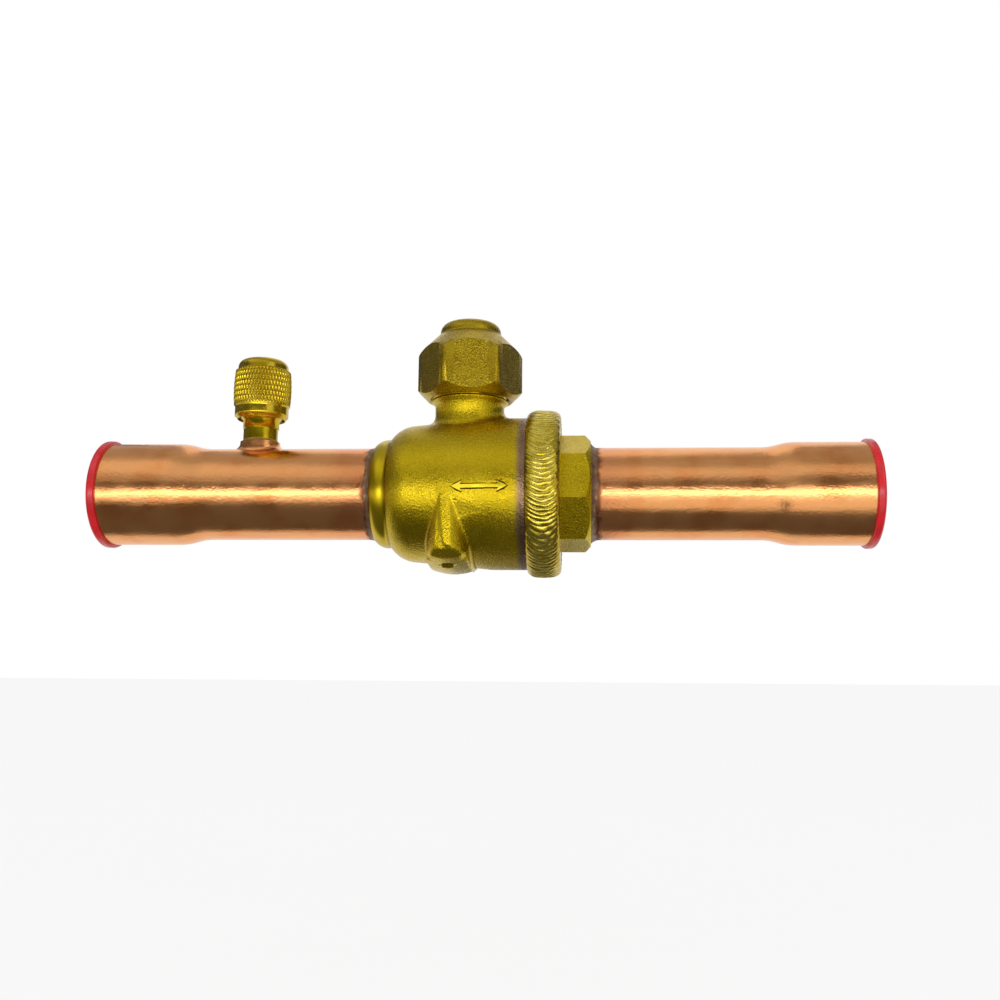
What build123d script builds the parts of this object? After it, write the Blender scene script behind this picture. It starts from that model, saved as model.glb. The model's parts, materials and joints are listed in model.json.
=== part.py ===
from build123d import *
import os
from math import asin, cos, degrees, pi, radians

# Hermetic ball valve for a refrigerant line: a forged brass body and a screwed-in end connector sealed
# by one weld bead, two copper extension tubes brazed in, a capped stem on top and an access port with a
# spring-loaded core on the inlet tube. All sizes are in millimetres.
#
# The pieces are drawn about the point where the pipe axis (X) crosses the stem axis (Z). place() then
# moves each of them so that the origin is on the pipe axis at the stop of the inlet socket.

# Whole valve
INLET_LENGTH = 87.0  # stem axis to the inlet tube's end
OUTLET_LENGTH = 94.2  # stem axis to the outlet tube's end
PORT_POSITION = 51.7  # stem axis to the access port's axis, towards the inlet

# Copper tubes and their swaged sockets
TUBE_R = 11.1
TUBE_WALL = 1.15
SOCKET_CLEARANCE = 0.05  # round a tube of the same size
SOCKET_WALL = 1.2
SOCKET_LENGTH = 16.2  # straight part, with the eased mouth
SWAGE_LENGTH = 8.4  # S-shaped step from socket to tube
MOUTH_LENGTH = 6.5  # eased part of the socket, where the plug wedges
MOUTH_EASE = 0.2
TUBE_INSERTION = 6.0  # tube inside its brass socket

# Braze joints
BRAZE_GAP = 0.05  # tube or spigot to its socket
FILLER_GAP = 0.01  # filler to tube
INLET_BRAZE_LENGTH = 1.5  # filler along the tube
OUTLET_BRAZE_LENGTH = 1.9
OUTLET_BRAZE_HEIGHT = 1.1
PORT_BRAZE_HEIGHT = 0.6

# Ball and its seats
BALL_R = 14.0
PORT_R = 9.0
BALL_GAP = 0.06  # between the ball and the seats' hollow faces
SEAT_BORE_STEP = 0.3  # seat bore outside the ball's port
SEAT_FLOOR = 1.96  # seat behind the inner edge of its hollow face
SEAT_LIP = 1.0  # seat outside its hollow face
SEAT_SHOULDER = 1.5  # seat inside the ball's cavity
SEAT_PROUD = 0.7  # seat standing out of its pocket
SEAT_GAP = 0.1  # round the seat in its pocket
RELIEF_HOLE_R = 1.0
CAVITY_GAP = 0.5  # round the ball

# Forged body
THREAD_STEP = 1.4  # connector's thread outside the cavity
BODY_WALL = 2.4  # outside the connector's thread
BARREL_TAPER = 1.8  # loss of radius from barrel to shoulder
BARREL_X = 6.0  # where the taper ends and the straight barrel begins
COLLAR_LENGTH = 9.8  # back of the inlet seat to the collar's face
COLLAR_WALL = 2.0
COLLAR_LIP = 0.4  # collar's face outside its bore
COLLAR_ROUND = 3.1
BULB_STEP = 0.25  # bulb outside the collar
BULB_START = 4.1  # collar's face to the bulb
BULB_LENGTH = 5.4
SEAM_DEPTH = 5.9  # back of the outlet seat to the seam under the weld

# Keel under the body, with the bracket holes
KEEL_X = -3.5
KEEL_TUCK = 1.05  # keel's nose inside the body's radius
KEEL_HALF_WIDTH = 4.8
KEEL_NOSE_WIDTH = 2.3
KEEL_NOSE_ROUND = 0.9
KEEL_NOSE_LENGTH = 6.4  # where the sides run in to the nose
KEEL_PROUD = 1.0  # flat underside below the body
KEEL_TOE_RISE = 3.5
KEEL_TOE_RUN = 3.9
KEEL_FILLET = 1.0
BRACKET_HOLE_R = 1.65  # tapping size of M4
BRACKET_HOLE_DEPTH = 5.5
BRACKET_HOLE_SPREAD = 10.5

# End connector
NOSE_GAP = 0.1  # between the nose and the cavity wall
THREAD_GAP = 0.05
OCTAGON_WALL = 1.85  # flats outside the tube's socket
OCTAGON_LENGTH = 7.3
OCTAGON_TURN = 11.5  # how far the octagon's corner stands below the horizontal, in degrees
CONNECTOR_CHAMFER = 0.6
SHANK_LENGTH = 3.8  # seam to octagon, under the weld

# Weld bead
BEAD_HALF_WIDTH = 4.0
BEAD_HEIGHT = 1.9
BEAD_CORNER = 1.9

# Stem
STEM_R = 5.0
STEM_GAP = 0.05  # running clearance in the neck
STEM_FLANGE = 1.6  # collar outside the stem
STEM_COLLAR_THICKNESS = 1.8
STEM_BALL_GAP = 0.6  # ball to the stem's collar
WASHER_THICKNESS = 0.8
POCKET_GAP = 0.3  # round the stem's collar
STEM_RECESS = 2.3  # stem's shoulder below the neck's top
SQUARE_SIDE = 6.35  # quarter-inch service wrench
SQUARE_LENGTH = 8.9
SQUARE_CHAMFER = 0.5
TANG_WIDTH = 10.8
TANG_THICKNESS = 3.9
TANG_GAP = 0.1
TANG_DEPTH = 3.3  # tang inside the ball
SLOT_FLOOR_GAP = 0.2
O_RING_SECTION_R = 0.75
O_RING_DEPTH = 4.6  # upper ring below the stop's pocket
O_RING_PITCH = 4.0
O_RING_GROOVE_WIDTH = 1.9

# Stop that limits the stem to a quarter turn
STOP_PLATE_THICKNESS = 1.4
STOP_FLOOR_GAP = 0.3  # under the stop plate
STOP_RIM_GAP = 0.4  # round the stop plate
STOP_PIN_R = 0.9
STOP_PIN_LAND = 0.5  # neck between the stem and the stop pin
STOP_KEY_WALL = 0.45  # least stop plate outside the square's corners
STOP_PIN_COVER = 0.8  # stop plate outside the pin's centre
STOP_PIN_DEPTH = 3.0
STOP_NOTCH_GAP = 0.2  # notch inside the pin
STOP_GAP = 0.3
STOP_PIN_ANGLE = -135.0  # seen from above, from the outlet
QUARTER_TURN = 90.0
CLIP_THICKNESS = 0.6
CLIP_WIDTH = 1.4
CLIP_BITE = 0.59  # groove's depth in the square's corners
CLIP_GAP_WIDTH = 3.0
CLIP_PLAY = 0.05

# Neck
NECK_HEIGHT = 4.1  # thread's start above the body
NECK_THREAD_LENGTH = 9.4
NECK_THREAD_WALL = 1.7  # outside the stop's pocket
NECK_RELIEF = 0.9
NECK_FILLET = 2.2
NECK_CHAMFER = 0.7

# Seal cap over the stem
CAP_WALL = 1.85  # flats outside the thread
CAP_TURN = 6.0  # how far the cap happens to be screwed on, in degrees
CAP_CORNER_ROUND = 1.0
CAP_FOOT_GAP = 0.6  # cap above the thread's start
CAP_RIM_WIDTH = 1.05
CAP_CORNER_REACH = 1.7  # corners outside the flats
CAP_HEAD_HEIGHT = 8.6  # from the hexagon's shoulder to the top
CAP_SHOULDER_ROUND = 2.4
CAP_KNOB_WALL = 1.8
CAP_CROWN_WALL = 3.1
CAP_CROWN_ROUND = 2.4
CAP_CROWN_RISE = 0.3
CAP_KNOB_FILLET = 0.5
CAP_DOME_ROOM = 1.2  # round and over the stem's square
CAP_LEAD_IN = 0.5
GASKET_THICKNESS = 1.1
GASKET_PLAY = 0.05
GASKET_WIDTH = 3.1

# Access port, with heights above the tube's crown
PORT_SPIGOT_R = 4.15
PORT_SPIGOT_DEPTH = 1.7
PORT_GROOVE_Z = 4.9
PORT_GROOVE_WIDTH = 0.3
PORT_GROOVE_DEPTH = 0.2
PORT_RING_STEP = 0.2
PORT_THREAD_LOW_Z = 7.7
PORT_THREAD_TOP_Z = 17.3
PORT_THREAD_R = 5.55  # 7/16-20 flare thread
PORT_FLARE_BASE_R = 4.9
PORT_FLARE_TIP_R = 3.1
PORT_TIP_LENGTH = 2.3
CORE_THREAD_R = 2.7
PORT_BORE_R = 2.2
TUBE_COLLAR_WALL = 0.6
TUBE_COLLAR_RISE = 1.7
TUBE_COLLAR_FILLET = 1.5

# Access core, with heights down from the port's tip
CORE_HEAD_DEPTH = 1.0
CORE_HEAD_LENGTH = 3.6
CORE_LEDGE_DEPTH = 9.2
CORE_SLEEVE_R = 2.1
CORE_SLEEVE_DEPTH = 12.6
CORE_CHAMBER_R = 1.55
CORE_CHAMBER_TOP_DEPTH = 2.3
CORE_CHAMBER_DEPTH = 10.8
CORE_PIN_R = 0.6
CORE_PIN_GAP = 0.05
CORE_PIN_DEPTH = 0.4
CORE_PIN_COLLAR_R = 1.4
CORE_PIN_COLLAR_DEPTH = 3.4
CORE_PIN_COLLAR_THICKNESS = 0.6
CORE_POPPET_R = 1.7
CORE_POPPET_GAP = 0.1
CORE_POPPET_THICKNESS = 1.1
CORE_SPRING_R = 1.1
CORE_SPRING_WIRE_R = 0.18
CORE_SPRING_TURNS = 6
CORE_SPRING_PLAY = 0.05
CORE_RING_SECTION_R = 0.35
CORE_RING_DEPTH = 7.0
CORE_WRENCH_WIDTH = 2.6
CORE_WRENCH_DEPTH = 1.6

# Knurled cap over the access port
PORT_CAP_FOOT = 12.2  # foot below the port's tip
PORT_CAP_BAND = 3.6  # height of the plain band
PORT_CAP_BAND_WALL = 0.85
PORT_CAP_KNURL_LENGTH = 8.5
PORT_CAP_KNURL_WALL = 1.35
PORT_CAP_CROWN_WALL = 0.5
PORT_CAP_CROWN_THICKNESS = 1.6
PORT_CAP_TOP_ROUND = 1.9
PORT_CAP_CHAMFER = 0.8
PORT_CAP_SEAL_THICKNESS = 1.1
PORT_CAP_SEAL_PLAY = 0.05
PORT_CAP_SEAL_GAP = 0.1

# Plugs in the tube ends
PLUG_FLANGE_COVER = 0.75  # flange outside the socket
PLUG_FLANGE_THICKNESS = 2.0
PLUG_FLANGE_ROUND = 0.8
PLUG_LENGTH = 6.0  # skirt inside the socket
PLUG_GAP = 0.03
PLUG_TAPER = 0.35
PLUG_WALL = 1.1

# Sizes that follow from the ones above: tubes
SOCKET_BORE_R = TUBE_R + SOCKET_CLEARANCE
SOCKET_R = SOCKET_BORE_R + SOCKET_WALL
TUBE_BORE_R = TUBE_R - TUBE_WALL
BRASS_SOCKET_R = TUBE_R + BRAZE_GAP
PLUG_FLANGE_R = SOCKET_R + PLUG_FLANGE_COVER

# Ball, seats and body
SEAT_BORE_R = PORT_R + SEAT_BORE_STEP
SEAT_FACE_R = BALL_R + BALL_GAP
SEAT_BORE_X = (SEAT_FACE_R**2 - SEAT_BORE_R**2) ** 0.5
SEAT_BACK_X = SEAT_BORE_X + SEAT_FLOOR
CAVITY_R = BALL_R + CAVITY_GAP
SEAT_R = CAVITY_R - SEAT_SHOULDER
SEAT_FRONT_R = SEAT_R - SEAT_LIP
SEAT_FRONT_X = (SEAT_FACE_R**2 - SEAT_FRONT_R**2) ** 0.5
SEAT_POCKET_R = SEAT_R + SEAT_GAP
SEAT_POCKET_X = SEAT_FRONT_X + SEAT_PROUD
CONNECTOR_THREAD_R = CAVITY_R + THREAD_STEP
BODY_R = CONNECTOR_THREAD_R + BODY_WALL
SHOULDER_R = BODY_R - BARREL_TAPER
COLLAR_X = -SEAT_BACK_X - COLLAR_LENGTH
COLLAR_R = BRASS_SOCKET_R + COLLAR_WALL
COLLAR_FACE_R = BRASS_SOCKET_R + COLLAR_LIP
BULB_START_X = COLLAR_X + BULB_START
BULB_START_R = COLLAR_R + BULB_STEP
SHOULDER_X = BULB_START_X + BULB_LENGTH
SEAM_X = SEAT_BACK_X + SEAM_DEPTH
KEEL_REACH = BODY_R - KEEL_TUCK
KEEL_DROP = BODY_R + KEEL_PROUD
INLET_STOP_X = COLLAR_X + TUBE_INSERTION

# End connector and weld
OCTAGON_START_X = SEAM_X + SHANK_LENGTH
CONNECTOR_END_X = OCTAGON_START_X + OCTAGON_LENGTH
OCTAGON_FLATS = 2 * (BRASS_SOCKET_R + OCTAGON_WALL)
OCTAGON_CORNER_R = OCTAGON_FLATS / 2 / cos(pi / 8)
OUTLET_STOP_X = CONNECTOR_END_X - TUBE_INSERTION
BEAD_LEFT_X = SEAM_X - BEAD_HALF_WIDTH
BEAD_RIGHT_X = SEAM_X + BEAD_HALF_WIDTH
BEAD_R = BODY_R + BEAD_HEIGHT

# Neck, stem and stop
NECK_THREAD_START_Z = BODY_R + NECK_HEIGHT
NECK_TOP_Z = NECK_THREAD_START_Z + NECK_THREAD_LENGTH
NECK_BORE_R = STEM_R + STEM_GAP
STEM_COLLAR_R = STEM_R + STEM_FLANGE
STEM_COLLAR_LOW_Z = BALL_R + STEM_BALL_GAP
STEM_COLLAR_TOP_Z = STEM_COLLAR_LOW_Z + STEM_COLLAR_THICKNESS
POCKET_R = STEM_COLLAR_R + POCKET_GAP
WASHER_TOP_Z = STEM_COLLAR_TOP_Z + WASHER_THICKNESS
TANG_LOW_Z = BALL_R - TANG_DEPTH
STEM_SHOULDER_Z = NECK_TOP_Z - STEM_RECESS
SQUARE_CORNER_R = SQUARE_SIDE / 2**0.5
SQUARE_TOP_Z = STEM_SHOULDER_Z + SQUARE_LENGTH
STOP_POCKET_FLOOR_Z = STEM_SHOULDER_Z - STOP_FLOOR_GAP
STOP_PIN_CENTRE_R = max(STEM_R, SQUARE_CORNER_R + STOP_KEY_WALL) + STOP_PIN_LAND + STOP_PIN_R
STOP_PLATE_R = STOP_PIN_CENTRE_R + STOP_PIN_COVER
STOP_POCKET_R = STOP_PLATE_R + STOP_RIM_GAP
STOP_NOTCH_R = STOP_PIN_CENTRE_R - STOP_PIN_R - STOP_NOTCH_GAP
CLIP_GROOVE_R = SQUARE_CORNER_R - CLIP_BITE
CLIP_R = CLIP_GROOVE_R + CLIP_WIDTH
O_RING_UPPER_Z = STOP_POCKET_FLOOR_Z - O_RING_DEPTH
O_RING_LOWER_Z = O_RING_UPPER_Z - O_RING_PITCH
NECK_THREAD_R = STOP_POCKET_R + NECK_THREAD_WALL
NECK_R = NECK_THREAD_R - NECK_RELIEF

# Seal cap and gasket
CAP_THREAD_R = NECK_THREAD_R + THREAD_GAP
CAP_FLATS = 2 * (CAP_THREAD_R + CAP_WALL)
CAP_ENVELOPE_R = CAP_FLATS / 2 + CAP_CORNER_REACH
CAP_RIM_R = CAP_THREAD_R + CAP_RIM_WIDTH
CAP_BOTTOM_Z = NECK_THREAD_START_Z + CAP_FOOT_GAP
CAP_CEILING_Z = NECK_TOP_Z + GASKET_THICKNESS + 2 * GASKET_PLAY
CAP_DOME_R = SQUARE_CORNER_R + CAP_DOME_ROOM
CAP_DOME_TOP_Z = SQUARE_TOP_Z + CAP_DOME_ROOM
CAP_TOP_Z = CAP_DOME_TOP_Z + CAP_CROWN_WALL
CAP_CONE_START_Z = CAP_TOP_Z - CAP_HEAD_HEIGHT
CAP_KNOB_R = CAP_DOME_R + CAP_KNOB_WALL
GASKET_BORE_R = NECK_THREAD_R - GASKET_WIDTH

# Access port, core and cap, above the tube's crown
PORT_HOLE_R = PORT_SPIGOT_R + BRAZE_GAP
PORT_RING_R = PORT_SPIGOT_R + PORT_RING_STEP
PORT_TOP_Z = PORT_THREAD_TOP_Z + PORT_TIP_LENGTH
TUBE_COLLAR_R = PORT_HOLE_R + TUBE_COLLAR_WALL
CORE_LEDGE_Z = PORT_TOP_Z - CORE_LEDGE_DEPTH
CORE_HEAD_TOP_Z = PORT_TOP_Z - CORE_HEAD_DEPTH
CORE_SLEEVE_LOW_Z = PORT_TOP_Z - CORE_SLEEVE_DEPTH
CORE_CHAMBER_TOP_Z = PORT_TOP_Z - CORE_CHAMBER_TOP_DEPTH
CORE_CHAMBER_LOW_Z = PORT_TOP_Z - CORE_CHAMBER_DEPTH
CORE_PIN_TOP_Z = PORT_TOP_Z - CORE_PIN_DEPTH
CORE_PIN_COLLAR_Z = PORT_TOP_Z - CORE_PIN_COLLAR_DEPTH
CORE_POPPET_TOP_Z = CORE_SLEEVE_LOW_Z - CORE_POPPET_GAP
CORE_RING_Z = PORT_TOP_Z - CORE_RING_DEPTH
PORT_CAP_THREAD_R = PORT_THREAD_R + THREAD_GAP
PORT_CAP_BAND_R = PORT_CAP_THREAD_R + PORT_CAP_BAND_WALL
PORT_CAP_KNURL_R = PORT_CAP_THREAD_R + PORT_CAP_KNURL_WALL
PORT_CAP_CROWN_R = PORT_CAP_THREAD_R + PORT_CAP_CROWN_WALL
PORT_CAP_BOTTOM_Z = PORT_TOP_Z - PORT_CAP_FOOT
PORT_CAP_KNURL_LOW_Z = PORT_CAP_BOTTOM_Z + PORT_CAP_BAND
PORT_CAP_KNURL_TOP_Z = PORT_CAP_KNURL_LOW_Z + PORT_CAP_KNURL_LENGTH
PORT_CAP_CEILING_Z = PORT_TOP_Z + PORT_CAP_SEAL_THICKNESS + 2 * PORT_CAP_SEAL_PLAY
PORT_CAP_TOP_Z = PORT_CAP_CEILING_Z + PORT_CAP_CROWN_THICKNESS
PORT_CAP_SEAL_R = PORT_CAP_THREAD_R - PORT_CAP_SEAL_GAP


def place(piece):
    """Moves a piece from the crossing of the axes to the frame at the inlet socket's stop."""
    return Pos(INLET_LENGTH - SOCKET_LENGTH, 0, 0) * piece


def turned_x(outline):
    """A solid of revolution about the pipe axis, from a closed outline of (x, radius)."""
    return revolve(Plane.XZ * make_face(outline), Axis.X)


def turned_z(outline):
    """A solid of revolution about the stem axis, from a closed outline of (radius, z)."""
    return revolve(Plane.XZ * make_face(outline), Axis.Z)


def ring_x(start, end, inner, outer):
    """A plain ring or disc about the pipe axis."""
    return turned_x(Polyline((start, inner), (end, inner), (end, outer), (start, outer), close=True))


def ring_z(low, top, inner, outer):
    """A plain ring or disc about the stem axis."""
    return turned_z(Polyline((inner, low), (outer, low), (outer, top), (inner, top), close=True))


def on_port(piece):
    """Moves a piece from the stem axis to the access port's axis, onto the tube's crown."""
    return Pos(-PORT_POSITION, 0, TUBE_R) * piece


# --- copper tubes ---


def swage(start, radius_out, radius_in, side):
    """The S-shaped line of a swaged step, as two arcs that meet in its middle."""
    end = (start[0] + side * SWAGE_LENGTH, radius_in)
    middle = ((start[0] + end[0]) / 2, (radius_out + radius_in) / 2)
    first = TangentArc(start, middle, tangent=(side, 0))
    second = TangentArc(end, middle, tangent=(-side, 0))
    return first + second


def extension_tube(open_end, stop):
    """A tube with a swaged socket at its open end, from there to its stop in the brass."""
    side = 1 if stop > open_end else -1
    mouth = open_end + side * MOUTH_LENGTH
    shoulder = open_end + side * SOCKET_LENGTH
    step_end = shoulder + side * SWAGE_LENGTH
    outline = Line((open_end, SOCKET_R), (shoulder, SOCKET_R))
    outline += swage((shoulder, SOCKET_R), SOCKET_R, TUBE_R, side)
    outline += Polyline((step_end, TUBE_R), (stop, TUBE_R), (stop, TUBE_BORE_R), (step_end, TUBE_BORE_R))
    outline += swage((shoulder, SOCKET_BORE_R), SOCKET_BORE_R, TUBE_BORE_R, side)
    outline += Polyline(
        (shoulder, SOCKET_BORE_R),
        (mouth, SOCKET_BORE_R),
        (open_end, SOCKET_BORE_R + MOUTH_EASE),
        (open_end, SOCKET_R),
    )
    return turned_x(outline)


def inlet_tube():
    """The inlet tube, with a collar drawn up out of its wall round the access port's spigot."""
    plain = extension_tube(-INLET_LENGTH, INLET_STOP_X)
    bore = ring_x(-INLET_LENGTH + SOCKET_LENGTH + SWAGE_LENGTH, INLET_STOP_X, 0, TUBE_BORE_R)
    collar = on_port(ring_z(-TUBE_R / 2, TUBE_COLLAR_RISE, 0, TUBE_COLLAR_R)) - bore
    joined = plain + collar
    outer = [e for e in new_edges(plain, collar, combined=joined) if e.center().Z > 0]
    joined = fillet(outer, TUBE_COLLAR_FILLET)
    return joined - on_port(ring_z(-TUBE_R, TUBE_COLLAR_RISE, 0, PORT_HOLE_R))


def outlet_tube():
    return extension_tube(OUTLET_LENGTH, OUTLET_STOP_X)


def braze_ring(face, length, height):
    """Filler between a tube and the face of its brass socket: a ring with a hollow outer face."""
    inner = TUBE_R + FILLER_GAP
    outline = Polyline((face + length, inner), (face, inner), (face, TUBE_R + height))
    outline += ThreePointArc(
        (face, TUBE_R + height), (face + length * 0.35, TUBE_R + height * 0.38), (face + length, inner)
    )
    return turned_x(outline)


def inlet_braze_ring():
    return braze_ring(COLLAR_X, -INLET_BRAZE_LENGTH, BRAZE_GAP + COLLAR_LIP)


def outlet_braze_ring():
    return braze_ring(CONNECTOR_END_X, OUTLET_BRAZE_LENGTH, OUTLET_BRAZE_HEIGHT)


# --- forged body ---


def body_blank():
    """The forged outside with the turned collar, as one turned form."""
    slope = (BARREL_X - SHOULDER_X, BODY_R - SHOULDER_R)
    outline = Polyline(
        (BULB_START_X, BULB_START_R),
        (BULB_START_X, COLLAR_R),
        (COLLAR_X + COLLAR_ROUND, COLLAR_R),
    )
    outline += TangentArc((COLLAR_X + COLLAR_ROUND, COLLAR_R), (COLLAR_X, COLLAR_FACE_R), tangent=(-1, 0))
    outline += Polyline(
        (COLLAR_X, COLLAR_FACE_R),
        (COLLAR_X, 0),
        (SEAM_X, 0),
        (SEAM_X, BODY_R),
        (BARREL_X, BODY_R),
        (SHOULDER_X, SHOULDER_R),
    )
    outline += TangentArc(
        (SHOULDER_X, SHOULDER_R), (BULB_START_X, BULB_START_R), tangent=(-slope[0], -slope[1])
    )
    return turned_x(outline)


def neck_blank():
    """The neck and the threaded head that the seal cap screws on."""
    relief = NECK_THREAD_START_Z - NECK_RELIEF
    outline = Polyline(
        (0, 0),
        (NECK_R, 0),
        (NECK_R, relief),
        (NECK_THREAD_R, NECK_THREAD_START_Z),
        (NECK_THREAD_R, NECK_TOP_Z - NECK_CHAMFER),
        (NECK_THREAD_R - NECK_CHAMFER, NECK_TOP_Z),
        (0, NECK_TOP_Z),
        close=True,
    )
    return turned_z(outline)


def keel():
    """The forged keel: pointed at both flanks of the body, flat below, with its toes turned up."""
    nose = KEEL_NOSE_WIDTH / 2
    start = KEEL_REACH - KEEL_NOSE_LENGTH
    flank = Line((KEEL_HALF_WIDTH, 0), (KEEL_HALF_WIDTH, start))
    flank += TangentArc((KEEL_HALF_WIDTH, start), (nose, KEEL_REACH), tangent=(0, 1))
    flank += Polyline((nose, KEEL_REACH), (0, KEEL_REACH), (0, 0), (KEEL_HALF_WIDTH, 0))
    quarter = make_face(flank)
    half = quarter + mirror(quarter, Plane.YZ)
    plan = half + mirror(half, Plane.XZ)
    tips = [v for v in plan.vertices() if abs(v.Y) > KEEL_REACH - KEEL_NOSE_ROUND and abs(v.X) > nose / 2]
    plan = fillet(tips, KEEL_NOSE_ROUND)
    block = extrude(Pos(0, 0, -KEEL_DROP) * plan, KEEL_DROP)
    toe = KEEL_REACH - KEEL_TOE_RUN
    side = Line((0, 0), (KEEL_REACH, 0)) + Line((KEEL_REACH, 0), (KEEL_REACH, KEEL_TOE_RISE - KEEL_DROP))
    side += TangentArc((KEEL_REACH, KEEL_TOE_RISE - KEEL_DROP), (toe, -KEEL_DROP), tangent=(0, -1))
    side += Polyline((toe, -KEEL_DROP), (0, -KEEL_DROP), (0, 0))
    half_side = make_face(side)
    face = Plane.YZ * (half_side + mirror(half_side, Plane.YZ))
    return Pos(KEEL_X, 0, 0) * (block & extrude(face, KEEL_HALF_WIDTH, both=True))


def bracket_holes():
    hole = Cylinder(BRACKET_HOLE_R, BRACKET_HOLE_DEPTH, align=(Align.CENTER, Align.CENTER, Align.MIN))
    pair = [Pos(KEEL_X, side * BRACKET_HOLE_SPREAD, -KEEL_DROP) * hole for side in (-1, 1)]
    return pair[0] + pair[1]


def pipe_passage():
    """Everything that is bored out of the body along the pipe axis."""
    outline = Polyline(
        (COLLAR_X, 0),
        (COLLAR_X, BRASS_SOCKET_R),
        (INLET_STOP_X, BRASS_SOCKET_R),
        (INLET_STOP_X, SEAT_BORE_R),
        (-SEAT_BACK_X, SEAT_BORE_R),
        (-SEAT_BACK_X, SEAT_POCKET_R),
        (-SEAT_POCKET_X, SEAT_POCKET_R),
        (-SEAT_POCKET_X, CAVITY_R),
        (SEAT_BACK_X - NOSE_GAP, CAVITY_R),
        (SEAT_BACK_X - NOSE_GAP, CONNECTOR_THREAD_R + THREAD_GAP),
        (SEAM_X, CONNECTOR_THREAD_R + THREAD_GAP),
        (SEAM_X, 0),
        close=True,
    )
    return turned_x(outline)


def stem_passage():
    """Everything that is bored out of the neck: collar pocket, stem bore and the pocket of the stop."""
    outline = Polyline(
        (0, 0),
        (POCKET_R, 0),
        (POCKET_R, WASHER_TOP_Z),
        (NECK_BORE_R, WASHER_TOP_Z),
        (NECK_BORE_R, STOP_POCKET_FLOOR_Z),
        (STOP_POCKET_R, STOP_POCKET_FLOOR_Z),
        (STOP_POCKET_R, NECK_TOP_Z),
        (0, NECK_TOP_Z),
        close=True,
    )
    return turned_z(outline)


def at_stop_pin(piece):
    """Moves a piece from the stem axis to the stop pin's place."""
    return Rot(0, 0, STOP_PIN_ANGLE) * Pos(STOP_PIN_CENTRE_R, 0, 0) * piece


def stop_pin():
    top = STEM_SHOULDER_Z + STOP_PLATE_THICKNESS
    return at_stop_pin(ring_z(STOP_POCKET_FLOOR_Z - STOP_PIN_DEPTH, top, 0, STOP_PIN_R))


def valve_body():
    blank = body_blank()
    neck = neck_blank()
    body = blank + neck
    body = fillet(new_edges(blank, neck, combined=body), NECK_FILLET)
    foot = keel()
    joined = body + foot
    flanks = [e for e in new_edges(body, foot, combined=joined) if e.length > 2 * KEEL_NOSE_WIDTH]
    body = fillet(flanks, KEEL_FILLET)
    body -= pipe_passage()
    body -= stem_passage()
    body -= at_stop_pin(ring_z(STOP_POCKET_FLOOR_Z - STOP_PIN_DEPTH, NECK_TOP_Z, 0, STOP_PIN_R))
    return body - bracket_holes()


# --- end connector and weld ---


def octagon():
    """The wrench octagon, with its outer corners turned off at the tube end."""
    length = CONNECTOR_END_X - OCTAGON_START_X
    section = Rot(0, 0, OCTAGON_TURN) * RegularPolygon(OCTAGON_CORNER_R, 8)
    prism = extrude(Plane.YZ.offset(OCTAGON_START_X) * section, length)
    low = OCTAGON_FLATS / 2 - CONNECTOR_CHAMFER / 2
    envelope = Polyline(
        (OCTAGON_START_X, 0),
        (OCTAGON_START_X, OCTAGON_CORNER_R),
        (CONNECTOR_END_X - (OCTAGON_CORNER_R - low), OCTAGON_CORNER_R),
        (CONNECTOR_END_X, low),
        (CONNECTOR_END_X, 0),
        close=True,
    )
    return prism & turned_x(envelope)


def end_connector():
    nose_r = CAVITY_R - NOSE_GAP
    outline = Polyline(
        (SEAT_POCKET_X, 0),
        (SEAT_POCKET_X, nose_r),
        (SEAT_BACK_X, nose_r),
        (SEAT_BACK_X, CONNECTOR_THREAD_R),
        (SEAM_X, CONNECTOR_THREAD_R),
        (SEAM_X, BODY_R),
        (OCTAGON_START_X, BODY_R),
        (OCTAGON_START_X, 0),
        close=True,
    )
    bores = Polyline(
        (SEAT_POCKET_X, 0),
        (SEAT_POCKET_X, SEAT_POCKET_R),
        (SEAT_BACK_X, SEAT_POCKET_R),
        (SEAT_BACK_X, SEAT_BORE_R),
        (OUTLET_STOP_X, SEAT_BORE_R),
        (OUTLET_STOP_X, BRASS_SOCKET_R),
        (CONNECTOR_END_X, BRASS_SOCKET_R),
        (CONNECTOR_END_X, 0),
        close=True,
    )
    return turned_x(outline) + octagon() - turned_x(bores)


def weld_bead():
    """The bead round the seam between body and connector, round-cornered and lightly crowned."""
    middle = (BEAD_LEFT_X + BEAD_RIGHT_X) / 2
    edge_r = BEAD_R - BEAD_CORNER * 0.15
    outline = Polyline((BEAD_LEFT_X, BODY_R), (OCTAGON_START_X, BODY_R))
    outline += Line((OCTAGON_START_X, BODY_R), (BEAD_RIGHT_X, BODY_R))
    outline += TangentArc(
        (BEAD_RIGHT_X, BODY_R), (BEAD_RIGHT_X - BEAD_CORNER, edge_r), tangent=(0.15, 1)
    )
    outline += ThreePointArc(
        (BEAD_RIGHT_X - BEAD_CORNER, edge_r), (middle, BEAD_R), (BEAD_LEFT_X + BEAD_CORNER, edge_r)
    )
    outline += TangentArc(
        (BEAD_LEFT_X, BODY_R), (BEAD_LEFT_X + BEAD_CORNER, edge_r), tangent=(-0.15, 1)
    )
    return turned_x(outline)


# --- ball, seats and stem ---


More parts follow.
